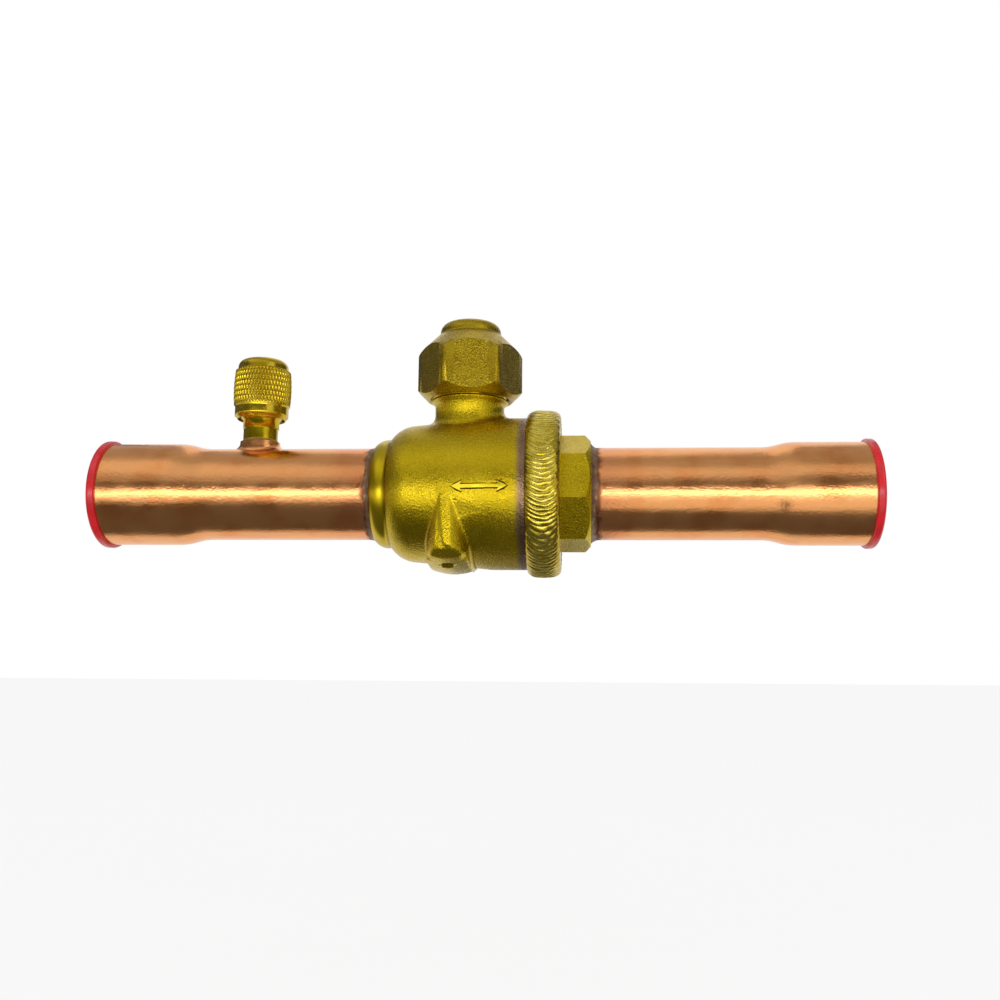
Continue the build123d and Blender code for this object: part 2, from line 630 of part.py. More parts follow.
def ball_seat(side):
    """A soft ring with a hollow face that the ball bears on."""
    middle = (SEAT_FRONT_R + SEAT_BORE_R) / 2
    middle_x = (SEAT_FACE_R**2 - middle**2) ** 0.5
    outline = Polyline(
        (side * SEAT_BORE_X, SEAT_BORE_R),
        (side * SEAT_BACK_X, SEAT_BORE_R),
        (side * SEAT_BACK_X, SEAT_R),
        (side * SEAT_FRONT_X, SEAT_R),
        (side * SEAT_FRONT_X, SEAT_FRONT_R),
    )
    outline += ThreePointArc(
        (side * SEAT_FRONT_X, SEAT_FRONT_R), (side * middle_x, middle), (side * SEAT_BORE_X, SEAT_BORE_R)
    )
    return turned_x(outline)


def tang_section(gap):
    """The flat key between stem and ball, across the pipe, grown by a gap."""
    return Rot(0, 0, 90) * SlotOverall(TANG_WIDTH + 2 * gap, TANG_THICKNESS + 2 * gap)


def ball():
    slot = extrude(Pos(0, 0, TANG_LOW_Z - SLOT_FLOOR_GAP) * tang_section(TANG_GAP), BALL_R)
    relief = ring_z(0, BALL_R, 0, RELIEF_HOLE_R)
    return Sphere(BALL_R) - ring_x(-BALL_R, BALL_R, 0, PORT_R) - slot - relief


def o_ring_groove(z):
    half = O_RING_GROOVE_WIDTH / 2
    return ring_z(z - half, z + half, STEM_R - 2 * O_RING_SECTION_R, STEM_R + STEM_GAP)


def clip_groove_z():
    """The clip lies on the stop plate."""
    return STEM_SHOULDER_Z + STOP_PLATE_THICKNESS + CLIP_PLAY


def stem():
    tang = extrude(Pos(0, 0, TANG_LOW_Z) * tang_section(0), STEM_COLLAR_LOW_Z - TANG_LOW_Z)
    shaft = turned_z(
        Polyline(
            (0, STEM_COLLAR_LOW_Z),
            (STEM_COLLAR_R, STEM_COLLAR_LOW_Z),
            (STEM_COLLAR_R, STEM_COLLAR_TOP_Z),
            (STEM_R, STEM_COLLAR_TOP_Z),
            (STEM_R, STEM_SHOULDER_Z),
            (0, STEM_SHOULDER_Z),
            close=True,
        )
    )
    shaft -= o_ring_groove(O_RING_LOWER_Z)
    shaft -= o_ring_groove(O_RING_UPPER_Z)
    square = extrude(
        Pos(0, 0, STEM_SHOULDER_Z) * Rectangle(SQUARE_SIDE, SQUARE_SIDE), SQUARE_TOP_Z - STEM_SHOULDER_Z
    )
    square = chamfer(square.faces().sort_by(Axis.Z)[-1].edges(), SQUARE_CHAMFER)
    groove = ring_z(clip_groove_z(), clip_groove_z() + CLIP_THICKNESS + CLIP_PLAY, CLIP_GROOVE_R, CLIP_R)
    return shaft + tang + (square - groove)


def stem_thrust_washer():
    return ring_z(STEM_COLLAR_TOP_Z, WASHER_TOP_Z, NECK_BORE_R, STEM_COLLAR_R)


def stem_o_ring(z):
    """An O-ring, lightly squeezed between its groove's floor and the neck's bore."""
    section = Pos(STEM_R - O_RING_SECTION_R, z) * Circle(O_RING_SECTION_R)
    return revolve(Plane.XZ * section, Axis.Z)


def stop_plate():
    """A washer keyed on the stem's square, with a notch that the stop pin stands in."""
    clearance = degrees(asin((STOP_PIN_R + STOP_GAP) / STOP_PIN_CENTRE_R))
    low = STEM_SHOULDER_Z
    plate = ring_z(low, low + STOP_PLATE_THICKNESS, 0, STOP_PLATE_R)
    hole = extrude(
        Pos(0, 0, low) * Rectangle(SQUARE_SIDE + 2 * CLIP_PLAY, SQUARE_SIDE + 2 * CLIP_PLAY),
        STOP_PLATE_THICKNESS,
    )
    notch_profile = Plane.XZ * Polyline(
        (STOP_NOTCH_R, low),
        (STOP_PLATE_R + 1, low),
        (STOP_PLATE_R + 1, low + STOP_PLATE_THICKNESS),
        (STOP_NOTCH_R, low + STOP_PLATE_THICKNESS),
        close=True,
    )
    sweep = QUARTER_TURN + 2 * clearance
    notch = revolve(make_face(notch_profile), Axis.Z, revolution_arc=sweep)
    start = STOP_PIN_ANGLE - clearance
    return plate - hole - Rot(0, 0, start) * notch


def stop_plate_clip():
    """An open ring that springs into the groove across the square's corners."""
    low = clip_groove_z()
    ring = ring_z(low, low + CLIP_THICKNESS, CLIP_GROOVE_R, CLIP_R)
    opening = Pos(CLIP_R / 2, 0, low + CLIP_THICKNESS / 2) * Box(CLIP_R * 1.2, CLIP_GAP_WIDTH, CLIP_THICKNESS)
    return ring - opening


# --- seal cap ---


def seal_cap_envelope():
    """The turned outline that trims the hexagon: foot chamfer, shoulder cone and round-topped knob."""
    foot_rise = CAP_ENVELOPE_R - CAP_RIM_R
    knob_foot_z = CAP_CONE_START_Z + CAP_ENVELOPE_R - CAP_KNOB_R
    crown_z = CAP_TOP_Z - CAP_CROWN_RISE
    cone = (CAP_KNOB_R + CAP_KNOB_FILLET, knob_foot_z - CAP_KNOB_FILLET)
    outline = Polyline(
        (0, CAP_BOTTOM_Z),
        (CAP_RIM_R, CAP_BOTTOM_Z),
        (CAP_ENVELOPE_R, CAP_BOTTOM_Z + foot_rise),
        (CAP_ENVELOPE_R, CAP_CONE_START_Z),
        cone,
    )
    outline += TangentArc((CAP_KNOB_R, knob_foot_z + CAP_KNOB_FILLET / 2), cone, tangent=(0, -1))
    outline += Line((CAP_KNOB_R, knob_foot_z + CAP_KNOB_FILLET / 2), (CAP_KNOB_R, crown_z - CAP_CROWN_ROUND))
    outline += TangentArc(
        (CAP_KNOB_R, crown_z - CAP_CROWN_ROUND), (CAP_KNOB_R - CAP_CROWN_ROUND, crown_z), tangent=(0, 1)
    )
    outline += Polyline((CAP_KNOB_R - CAP_CROWN_ROUND, crown_z), (0, CAP_TOP_Z), (0, CAP_BOTTOM_Z))
    section = make_face(outline)
    shoulder = section.vertices().sort_by_distance((CAP_ENVELOPE_R, CAP_CONE_START_Z))[0]
    return revolve(Plane.XZ * fillet(shoulder, CAP_SHOULDER_ROUND), Axis.Z)


def seal_cap():
    hexagon = RegularPolygon(CAP_FLATS / 2, 6, major_radius=False)
    hexagon = fillet(hexagon.vertices(), CAP_CORNER_ROUND)
    prism = extrude(Pos(0, 0, CAP_BOTTOM_Z) * Rot(0, 0, CAP_TURN) * hexagon, CAP_TOP_Z - CAP_BOTTOM_Z)
    hollow = Polyline(
        (0, CAP_BOTTOM_Z),
        (CAP_THREAD_R + CAP_LEAD_IN, CAP_BOTTOM_Z),
        (CAP_THREAD_R, CAP_BOTTOM_Z + CAP_LEAD_IN),
        (CAP_THREAD_R, CAP_CEILING_Z),
        (CAP_DOME_R, CAP_CEILING_Z),
        (CAP_DOME_R, CAP_DOME_TOP_Z - CAP_DOME_R / 3),
        (CAP_DOME_R * 2 / 3, CAP_DOME_TOP_Z),
        (0, CAP_DOME_TOP_Z),
        close=True,
    )
    return (seal_cap_envelope() & prism) - turned_z(hollow)


def seal_cap_gasket():
    return ring_z(NECK_TOP_Z + GASKET_PLAY, CAP_CEILING_Z - GASKET_PLAY, GASKET_BORE_R, NECK_THREAD_R)


# --- access port and its core ---


def access_port_body():
    """A flare fitting: brazed spigot, grooved ring, thread and 45-degree tip, bored for the core."""
    groove_r = PORT_SPIGOT_R - PORT_GROOVE_DEPTH
    core_r = CORE_THREAD_R + STEM_GAP
    outline = Polyline(
        (PORT_BORE_R, -PORT_SPIGOT_DEPTH),
        (PORT_SPIGOT_R, -PORT_SPIGOT_DEPTH),
        (PORT_SPIGOT_R, PORT_GROOVE_Z),
        (groove_r, PORT_GROOVE_Z),
        (groove_r, PORT_GROOVE_Z + PORT_GROOVE_WIDTH),
        (PORT_RING_R, PORT_GROOVE_Z + PORT_GROOVE_WIDTH),
        (PORT_RING_R, PORT_THREAD_LOW_Z - (PORT_THREAD_R - PORT_RING_R) / 2),
        (PORT_THREAD_R, PORT_THREAD_LOW_Z + (PORT_THREAD_R - PORT_RING_R) / 2),
        (PORT_THREAD_R, PORT_THREAD_TOP_Z - (PORT_THREAD_R - PORT_FLARE_BASE_R)),
        (PORT_FLARE_BASE_R, PORT_THREAD_TOP_Z),
        (PORT_FLARE_TIP_R, PORT_TOP_Z),
        (core_r, PORT_TOP_Z),
        (core_r, CORE_LEDGE_Z + (core_r - PORT_BORE_R)),
        (PORT_BORE_R, CORE_LEDGE_Z),
        close=True,
    )
    return on_port(turned_z(outline))


def port_braze_ring():
    """Filler where the port's spigot stands in the tube's collar."""
    tip_z = TUBE_COLLAR_RISE + PORT_BRAZE_HEIGHT
    outline = Polyline(
        (PORT_SPIGOT_R, tip_z), (PORT_SPIGOT_R, TUBE_COLLAR_RISE), (TUBE_COLLAR_R, TUBE_COLLAR_RISE)
    )
    outline += ThreePointArc(
        (TUBE_COLLAR_R, TUBE_COLLAR_RISE),
        (PORT_SPIGOT_R + PORT_BRAZE_HEIGHT * 0.35, TUBE_COLLAR_RISE + PORT_BRAZE_HEIGHT * 0.35),
        (PORT_SPIGOT_R, tip_z),
    )
    return on_port(turned_z(outline))


def core_body():
    """The core's threaded head with its wrench slot, and the sleeve that holds spring and pin."""
    pin_hole_r = CORE_PIN_R + CORE_PIN_GAP
    head_low_z = CORE_HEAD_TOP_Z - CORE_HEAD_LENGTH
    outline = Polyline(
        (pin_hole_r, CORE_SLEEVE_LOW_Z),
        (CORE_SLEEVE_R, CORE_SLEEVE_LOW_Z),
        (CORE_SLEEVE_R, head_low_z - (CORE_THREAD_R - CORE_SLEEVE_R)),
        (CORE_THREAD_R, head_low_z),
        (CORE_THREAD_R, CORE_HEAD_TOP_Z),
        (pin_hole_r, CORE_HEAD_TOP_Z),
        (pin_hole_r, CORE_CHAMBER_TOP_Z),
        (CORE_CHAMBER_R, CORE_CHAMBER_TOP_Z),
        (CORE_CHAMBER_R, CORE_CHAMBER_LOW_Z),
        (pin_hole_r, CORE_CHAMBER_LOW_Z),
        close=True,
    )
    sleeve = turned_z(outline)
    side_cut = (CORE_THREAD_R - CORE_WRENCH_WIDTH / 2) * 2
    for side in (-1, 1):
        away = side * (CORE_WRENCH_WIDTH + side_cut) / 2
        flat = Pos(0, away, CORE_HEAD_TOP_Z - CORE_WRENCH_DEPTH / 2)
        sleeve -= flat * Box(CORE_THREAD_R * 2, side_cut, CORE_WRENCH_DEPTH)
    ring = Pos(CORE_SLEEVE_R, CORE_RING_Z) * Circle(CORE_RING_SECTION_R)
    groove = revolve(Plane.XZ * ring, Axis.Z)
    return on_port(sleeve - groove)


def core_ring():
    """The ring that seals the core's sleeve in the port's bore."""
    section = Pos(CORE_SLEEVE_R, CORE_RING_Z) * Circle(CORE_RING_SECTION_R)
    return on_port(revolve(Plane.XZ * section, Axis.Z))


def core_pin():
    """The pin that a hose presses, with the collar that its spring lifts and the poppet that seals."""
    collar_low_z = CORE_PIN_COLLAR_Z - CORE_PIN_COLLAR_THICKNESS
    poppet_low_z = CORE_POPPET_TOP_Z - CORE_POPPET_THICKNESS
    outline = Polyline(
        (0, poppet_low_z),
        (CORE_POPPET_R, poppet_low_z),
        (CORE_POPPET_R, CORE_POPPET_TOP_Z),
        (CORE_PIN_R, CORE_POPPET_TOP_Z),
        (CORE_PIN_R, collar_low_z),
        (CORE_PIN_COLLAR_R, collar_low_z),
        (CORE_PIN_COLLAR_R, CORE_PIN_COLLAR_Z),
        (CORE_PIN_R, CORE_PIN_COLLAR_Z),
        (CORE_PIN_R, CORE_PIN_TOP_Z),
        (0, CORE_PIN_TOP_Z),
        close=True,
    )
    return on_port(turned_z(outline))


def core_spring():
    """A coil between the floor of the core's chamber and the pin's collar."""
    low = CORE_CHAMBER_LOW_Z + CORE_SPRING_WIRE_R + CORE_SPRING_PLAY
    top = CORE_PIN_COLLAR_Z - CORE_PIN_COLLAR_THICKNESS - CORE_SPRING_WIRE_R - CORE_SPRING_PLAY
    height = top - low
    path = Helix(height / CORE_SPRING_TURNS, height, CORE_SPRING_R)
    section = Plane(path @ 0, z_dir=path % 0) * Circle(CORE_SPRING_WIRE_R)
    return on_port(Pos(0, 0, low) * sweep(section, path=path, is_frenet=True))


# --- access port cap ---


def port_cap():
    """A cap with a plain foot band, a barrel-shaped knurled grip and a round crown."""
    middle_z = (PORT_CAP_KNURL_LOW_Z + PORT_CAP_KNURL_TOP_Z) / 2
    outline = Polyline(
        (0, PORT_CAP_BOTTOM_Z),
        (PORT_CAP_BAND_R - PORT_CAP_CHAMFER, PORT_CAP_BOTTOM_Z),
        (PORT_CAP_BAND_R, PORT_CAP_BOTTOM_Z + PORT_CAP_CHAMFER),
        (PORT_CAP_BAND_R, PORT_CAP_KNURL_LOW_Z),
    )
    outline += ThreePointArc(
        (PORT_CAP_BAND_R, PORT_CAP_KNURL_LOW_Z),
        (PORT_CAP_KNURL_R, middle_z),
        (PORT_CAP_CROWN_R, PORT_CAP_KNURL_TOP_Z),
    )
    outline += Line(
        (PORT_CAP_CROWN_R, PORT_CAP_KNURL_TOP_Z), (PORT_CAP_CROWN_R, PORT_CAP_TOP_Z - PORT_CAP_TOP_ROUND)
    )
    outline += TangentArc(
        (PORT_CAP_CROWN_R, PORT_CAP_TOP_Z - PORT_CAP_TOP_ROUND),
        (PORT_CAP_CROWN_R - PORT_CAP_TOP_ROUND, PORT_CAP_TOP_Z),
        tangent=(0, 1),
    )
    outline += Polyline(
        (PORT_CAP_CROWN_R - PORT_CAP_TOP_ROUND, PORT_CAP_TOP_Z),
        (0, PORT_CAP_TOP_Z),
        (0, PORT_CAP_BOTTOM_Z),
    )
    hollow = ring_z(PORT_CAP_BOTTOM_Z, PORT_CAP_CEILING_Z, 0, PORT_CAP_THREAD_R)
    return on_port(turned_z(outline) - hollow)


def port_cap_seal():
    """The soft disc that the flare's tip bears on."""
    play = PORT_CAP_SEAL_PLAY
    return on_port(ring_z(PORT_TOP_Z + play, PORT_CAP_CEILING_Z - play, 0, PORT_CAP_SEAL_R))


# --- plugs ---


def tube_plug():
    """A flanged plug for a tube end at x = 0, with its tapered cup inside, towards +X."""
    mouth_r = SOCKET_BORE_R + MOUTH_EASE - PLUG_GAP
    inner_r = mouth_r - PLUG_TAPER
    rim = PLUG_FLANGE_ROUND
    outline = Polyline(
        (0, mouth_r),
        (PLUG_LENGTH, inner_r),
        (PLUG_LENGTH, 0),
        (PLUG_LENGTH - PLUG_WALL, 0),
        (PLUG_LENGTH - PLUG_WALL, inner_r - PLUG_WALL),
        (-PLUG_FLANGE_THICKNESS, mouth_r - PLUG_WALL),
        (-PLUG_FLANGE_THICKNESS, PLUG_FLANGE_R - rim),
    )
    outline += TangentArc(
        (-PLUG_FLANGE_THICKNESS, PLUG_FLANGE_R - rim),
        (-PLUG_FLANGE_THICKNESS + rim, PLUG_FLANGE_R),
        tangent=(0, 1),
    )
    outline += Line((-PLUG_FLANGE_THICKNESS + rim, PLUG_FLANGE_R), (-rim / 2, PLUG_FLANGE_R))
    outline += TangentArc((-rim / 2, PLUG_FLANGE_R), (0, PLUG_FLANGE_R - rim / 2), tangent=(1, 0))
    outline += Line((0, PLUG_FLANGE_R - rim / 2), (0, mouth_r))
    return turned_x(outline)


def inlet_plug():
    return Pos(-INLET_LENGTH, 0, 0) * tube_plug()


def outlet_plug():
    return Pos(OUTLET_LENGTH, 0, 0) * Rot(0, 0, 180) * tube_plug()


PIECES = {
    "valve_body": valve_body,
    "end_connector": end_connector,
    "weld_bead": weld_bead,
    "inlet_tube": inlet_tube,
    "outlet_tube": outlet_tube,
    "inlet_braze_ring": inlet_braze_ring,
    "outlet_braze_ring": outlet_braze_ring,
    "inlet_ball_seat": lambda: ball_seat(-1),
    "outlet_ball_seat": lambda: ball_seat(1),
    "ball": ball,
    "stem": stem,
    "stem_thrust_washer": stem_thrust_washer,
    "stem_o_ring_lower": lambda: stem_o_ring(O_RING_LOWER_Z),
    "stem_o_ring_upper": lambda: stem_o_ring(O_RING_UPPER_Z),
    "stop_plate": stop_plate,
    "stop_plate_clip": stop_plate_clip,
    "stop_pin": stop_pin,
    "seal_cap": seal_cap,
    "seal_cap_gasket": seal_cap_gasket,
    "access_port_body": access_port_body,
    "port_braze_ring": port_braze_ring,
    "core_body": core_body,
    "core_ring": core_ring,
    "core_pin": core_pin,
    "core_spring": core_spring,
    "port_cap": port_cap,
    "port_cap_seal": port_cap_seal,
    "inlet_plug": inlet_plug,
    "outlet_plug": outlet_plug,
}

os.makedirs("parts", exist_ok=True)
for name, build in PIECES.items():
    export_step(place(build()), f"parts/{name}.step")
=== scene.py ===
import json
import math

import bmesh
import bpy
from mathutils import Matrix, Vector
from mathutils.bvhtree import BVHTree


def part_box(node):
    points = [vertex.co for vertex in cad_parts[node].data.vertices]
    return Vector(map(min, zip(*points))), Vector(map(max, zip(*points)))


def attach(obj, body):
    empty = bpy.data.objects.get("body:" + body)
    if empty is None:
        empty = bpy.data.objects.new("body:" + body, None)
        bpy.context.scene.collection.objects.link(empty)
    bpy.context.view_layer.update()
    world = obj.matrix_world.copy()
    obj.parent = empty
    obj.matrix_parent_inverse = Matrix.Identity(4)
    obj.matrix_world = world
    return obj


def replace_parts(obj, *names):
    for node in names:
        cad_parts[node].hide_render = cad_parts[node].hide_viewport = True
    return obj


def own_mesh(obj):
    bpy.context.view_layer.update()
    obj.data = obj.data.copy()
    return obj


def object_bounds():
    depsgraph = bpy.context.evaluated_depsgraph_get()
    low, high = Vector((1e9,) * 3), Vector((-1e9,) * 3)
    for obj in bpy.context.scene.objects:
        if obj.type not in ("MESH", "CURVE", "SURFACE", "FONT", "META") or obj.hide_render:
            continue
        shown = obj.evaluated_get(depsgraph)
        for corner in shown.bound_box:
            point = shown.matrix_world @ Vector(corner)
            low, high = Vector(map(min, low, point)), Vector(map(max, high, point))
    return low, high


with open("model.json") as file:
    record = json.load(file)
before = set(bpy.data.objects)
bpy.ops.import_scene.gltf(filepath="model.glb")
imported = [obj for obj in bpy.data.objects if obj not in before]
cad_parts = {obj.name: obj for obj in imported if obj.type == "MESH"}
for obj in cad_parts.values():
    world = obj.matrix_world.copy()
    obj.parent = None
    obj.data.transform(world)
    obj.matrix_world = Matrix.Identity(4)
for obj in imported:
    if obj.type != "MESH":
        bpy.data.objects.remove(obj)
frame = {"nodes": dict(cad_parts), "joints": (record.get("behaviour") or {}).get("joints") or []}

CAD_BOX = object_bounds()
MM = 0.001
FULL_TURN = 2 * math.pi


# --- where things are, read from the frame ---

JOINTS = {joint["name"]: joint for joint in frame["joints"]}
STEM = Vector(JOINTS["stem_turn"]["pos_m"])
PORT = Vector(JOINTS["port_cap_turn"]["pos_m"])


def low(node):
    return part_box(node)[0]


def high(node):
    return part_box(node)[1]


BODY_START = low("valve_body").x
COLLAR_END = BODY_START + 4.1 * MM  # the turned collar ends here
NECK_HEAD = low("seal_cap").z + 0.1 * MM  # the neck is turned above this height
WELD_LOW = low("weld_bead").x
WELD_HIGH = high("weld_bead").x
TINT_START = WELD_LOW - 2.4 * MM  # the weld's heat tint begins here

# --- sizes that no box gives ---

TUBE_R = 11.1 * MM
WELD_ROOT = 18.3 * MM
NECK_THREAD_R = (high("seal_cap_gasket").x - low("seal_cap_gasket").x) / 2
NECK_PITCH = 1.5 * MM
PORT_THREAD_R = 5.55 * MM
PORT_PITCH = 1.27 * MM
THREAD_GAP = 0.05 * MM


# --- mesh helpers ---


def add_piece(name, mesh, body, material):
    """A smooth piece that rides on a body and takes the given finish."""
    mesh.polygons.foreach_set("use_smooth", [True] * len(mesh.polygons))
    piece = bpy.data.objects.new(name, mesh)
    bpy.context.scene.collection.objects.link(piece)
    piece.data.materials.append(material)
    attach(piece, body)
    return piece


def mesh_from(bm, name):
    """A new mesh from a bmesh, which is used up, with its faces turned outward."""
    bmesh.ops.recalc_face_normals(bm, faces=bm.faces)
    mesh = bpy.data.meshes.new(name)
    bm.to_mesh(mesh)
    bm.free()
    return mesh


def piece_from(bm, name, body, material, sharp=35):
    """An added piece from a bmesh, smooth except at edges sharper than the given degrees."""
    mesh = mesh_from(bm, name)
    piece = add_piece(name, mesh, body, material)
    mesh.set_sharp_from_angle(angle=math.radians(sharp))
    return piece


def mesh_copy(node):
    """The CAD node's mesh as a bmesh in the row frame."""
    shape = frame["nodes"][node]
    bm = bmesh.new()
    bm.from_mesh(shape.data)
    bm.transform(shape.matrix_world)
    bmesh.ops.remove_doubles(bm, verts=bm.verts, dist=0.0005 * MM)
    return bm


def surface_of(node):
    """A CAD node's surface in the row frame, for finding points on it."""
    shape = frame["nodes"][node]
    place = shape.matrix_world
    return BVHTree.FromPolygons(
        [place @ v.co for v in shape.data.vertices], [tuple(p.vertices) for p in shape.data.polygons]
    )


def along_x(x, r, turn):
    """A point at x, at radius r about the pipe axis. Turn 0 faces -Y."""
    return (x, STEM.y - r * math.cos(turn), STEM.z + r * math.sin(turn))


def about_z(centre):
    """Places a point at height z, at radius r about a vertical axis through centre."""
    return lambda z, r, turn: (centre.x + r * math.cos(turn), centre.y + r * math.sin(turn), z)


def turned_piece(name, profile, steps, place, bump, body, material):
    """A piece turned from a closed profile of (along, radius).

    bump(index, along, radius, turn) gives the new (along, radius) of one point.
    """
    vertices = []
    faces = []
    count = len(profile)
    for step in range(steps):
        turn = FULL_TURN * step / steps
        following = (step + 1) % steps
        for index, (along, radius) in enumerate(profile):
            after = (index + 1) % count
            vertices.append(place(*bump(index, along, radius, turn), turn))
            corners = ((step, index), (step, after), (following, after), (following, index))
            faces.append([ring * count + point for ring, point in corners])
    mesh = bpy.data.meshes.new(name)
    mesh.from_pydata(vertices, [], faces)
    mesh.update()
    bm = bmesh.new()
    bm.from_mesh(mesh)
    bpy.data.meshes.remove(mesh)
    return add_piece(name, mesh_from(bm, name), body, material)


def arc(centre, radius, start, end, points):
    """Points of an arc in a profile, angles in degrees."""
    for step in range(points):
        angle = math.radians(start + (end - start) * step / (points - 1))
        yield (centre[0] + radius * math.cos(angle), centre[1] + radius * math.sin(angle))


def line(a, b, points):
    """Evenly spaced points from a up to, but not including, b."""
    for step in range(points):
        share = step / points
        yield (a[0] + (b[0] - a[0]) * share, a[1] + (b[1] - a[1]) * share)


def smoothstep(low_edge, high_edge, value):
    share = min(max((value - low_edge) / (high_edge - low_edge), 0.0), 1.0)
    return share * share * (3 - 2 * share)


def thread_depth(z, turn, foot, head, pitch):
    """How deep a right-hand V thread is at a point, from 0 to 1. It runs out at its foot and head."""
    phase = (z / pitch - turn / FULL_TURN) % 1
    groove = max(0.0, 1 - 1.15 * abs(2 * phase - 1))
    return groove * smoothstep(0, pitch / 2, z - foot) * smoothstep(0, pitch / 2, head - z)


def cut_thread(bm, centre, radius, pitch, depth):
    """Turns a plain upright cylinder wall of the mesh into a thread.

    A positive depth cuts towards the axis, a negative one away from it.
    """
    steps = 192
    rows_per_pitch = 12
    near = 0.012 * MM
    margin = 0.12 * MM

    def on_wall(face):
        radii = [math.hypot(v.co.x - centre.x, v.co.y - centre.y) for v in face.verts]
        return abs(face.normal.z) < 0.05 and all(abs(r - radius) < near for r in radii)

    wall = [f for f in bm.faces if on_wall(f)]
    heights = [v.co.z for f in wall for v in f.verts]
    foot, head = min(heights), max(heights)
    bmesh.ops.delete(bm, geom=wall, context="FACES")
    rims = [e for e in bm.edges if e.is_boundary]
    thread_foot, thread_head = foot + margin, head - margin
    rows = int((head - foot) / pitch * rows_per_pitch)
    rings = []
    for row in range(rows + 1):
        z = thread_foot + (thread_head - thread_foot) * row / rows
        ring = []
        for step in range(steps):
            turn = FULL_TURN * step / steps
            r = radius - depth * thread_depth(z, turn, thread_foot, thread_head, pitch)
            ring.append(bm.verts.new((centre.x + r * math.cos(turn), centre.y + r * math.sin(turn), z)))
        rings.append(ring)
    for lower, upper in zip(rings, rings[1:]):
        for step in range(steps):
            after = (step + 1) % steps
            bm.faces.new((lower[step], lower[after], upper[after], upper[step]))
    for ring, z in ((rings[0], foot), (rings[-1], head)):
        edges = [bm.edges.get((ring[step], ring[(step + 1) % steps])) for step in range(steps)]
        edges += [e for e in rims if all(abs(v.co.z - z) < near for v in e.verts)]
        bmesh.ops.bridge_loops(bm, edges=edges)


# --- material helpers ---


class Nodes:
    """Short names for building one material's node tree. Noise scales are per metre."""

    def __init__(self, name):
        self.material = bpy.data.materials.new(name)
        self.material.use_nodes = True
        self.tree = self.material.node_tree
        self.shader = self.tree.nodes["Principled BSDF"]
        self.place = self.new("ShaderNodeTexCoord").outputs["Object"]

    def new(self, kind, **settings):
        node = self.tree.nodes.new(kind)
        for key, value in settings.items():
            setattr(node, key, value)
        return node

    def link(self, output, target):
        self.tree.links.new(output, target)

    def set(self, **values):
        """Sets constant values on the shader's sockets."""
        for key, value in values.items():
            self.shader.inputs[key.replace("_", " ")].default_value = value

    def finish(self, **outputs):
        """Links outputs to the shader's sockets and gives the material."""
        for key, output in outputs.items():
            self.link(output, self.shader.inputs[key.replace("_", " ")])
        return self.material

    def noise(self, scale, detail=3.0, roughness=0.5, vector=None, distortion=0.0):
        node = self.new("ShaderNodeTexNoise")
        node.inputs["Scale"].default_value = scale
        node.inputs["Detail"].default_value = detail
        node.inputs["Roughness"].default_value = roughness
        node.inputs["Distortion"].default_value = distortion
        self.link(vector or self.place, node.inputs["Vector"])
        return node.outputs["Fac"]

    def stretched(self, x, y, z):
        """Object coordinates scaled along each axis."""
        node = self.new("ShaderNodeMapping")
        node.inputs["Scale"].default_value = (x, y, z)
        self.link(self.place, node.inputs["Vector"])
        return node.outputs["Vector"]

    def axis(self, which):
        node = self.new("ShaderNodeSeparateXYZ")
        self.link(self.place, node.inputs["Vector"])
        return node.outputs[which]

    def math(self, operation, a, b):
        node = self.new("ShaderNodeMath", operation=operation)
        for socket, value in zip(node.inputs, (a, b)):
            if isinstance(value, (int, float)):
                socket.default_value = value
            else:
                self.link(value, socket)
        return node.outputs[0]

    def ramp(self, value, stops):
        """Maps a value to a grey level or colour through (position, level) stops."""
        node = self.new("ShaderNodeValToRGB")
        node.color_ramp.interpolation = "EASE"
        while len(node.color_ramp.elements) < len(stops):
            node.color_ramp.elements.new(0.5)
        for element, (position, level) in zip(node.color_ramp.elements, stops):
            element.position = position
            element.color = (*level, 1) if isinstance(level, tuple) else (level, level, level, 1)
        self.link(value, node.inputs["Fac"])
        return node.outputs["Color"]

    def span(self, value, start, end):
        """Maps value from start..end to 0..1, clamped."""
        node = self.new("ShaderNodeMapRange")
        node.inputs["From Min"].default_value = start
        node.inputs["From Max"].default_value = end
        self.link(value, node.inputs["Value"])
        return node.outputs["Result"]

    def between(self, value, start, end, edge):
        """1 between start and end, falling to 0 over the edge width."""
        rise = self.span(value, start - edge, start + edge)
        fall = self.span(value, end + edge, end - edge)
        return self.math("MULTIPLY", rise, fall)

    def wandering(self, value, scale, detail, reach):
        """The value shifted to and fro by noise, half of reach to each side."""
        noise = self.math("SUBTRACT", self.noise(scale, detail=detail), 0.5)
        return self.math("ADD", value, self.math("MULTIPLY", noise, reach))

    def mix(self, factor, a, b):
        """Mixes two colours, grey levels or heights."""
        node = self.new("ShaderNodeMix", data_type="RGBA")
        for socket, value in zip((node.inputs[0], node.inputs[6], node.inputs[7]), (factor, a, b)):
            if isinstance(value, tuple):
                socket.default_value = (*value, 1)
            elif isinstance(value, (int, float)):
                socket.default_value = value
            else:
                self.link(value, socket)
        return node.outputs[2]

    def mix_normals(self, factor, a, b):
        node = self.new("ShaderNodeMix", data_type="VECTOR")
        for socket, value in zip((node.inputs[0], node.inputs[4], node.inputs[5]), (factor, a, b)):
            self.link(value, socket)
        return node.outputs[1]

    def bump(self, height, distance, normal=None):
        node = self.new("ShaderNodeBump")
        node.inputs["Strength"].default_value = 1.0
        node.inputs["Distance"].default_value = distance
        self.link(height, node.inputs["Height"])
        if normal:
            self.link(normal, node.inputs["Normal"])
        return node.outputs["Normal"]


# --- materials ---

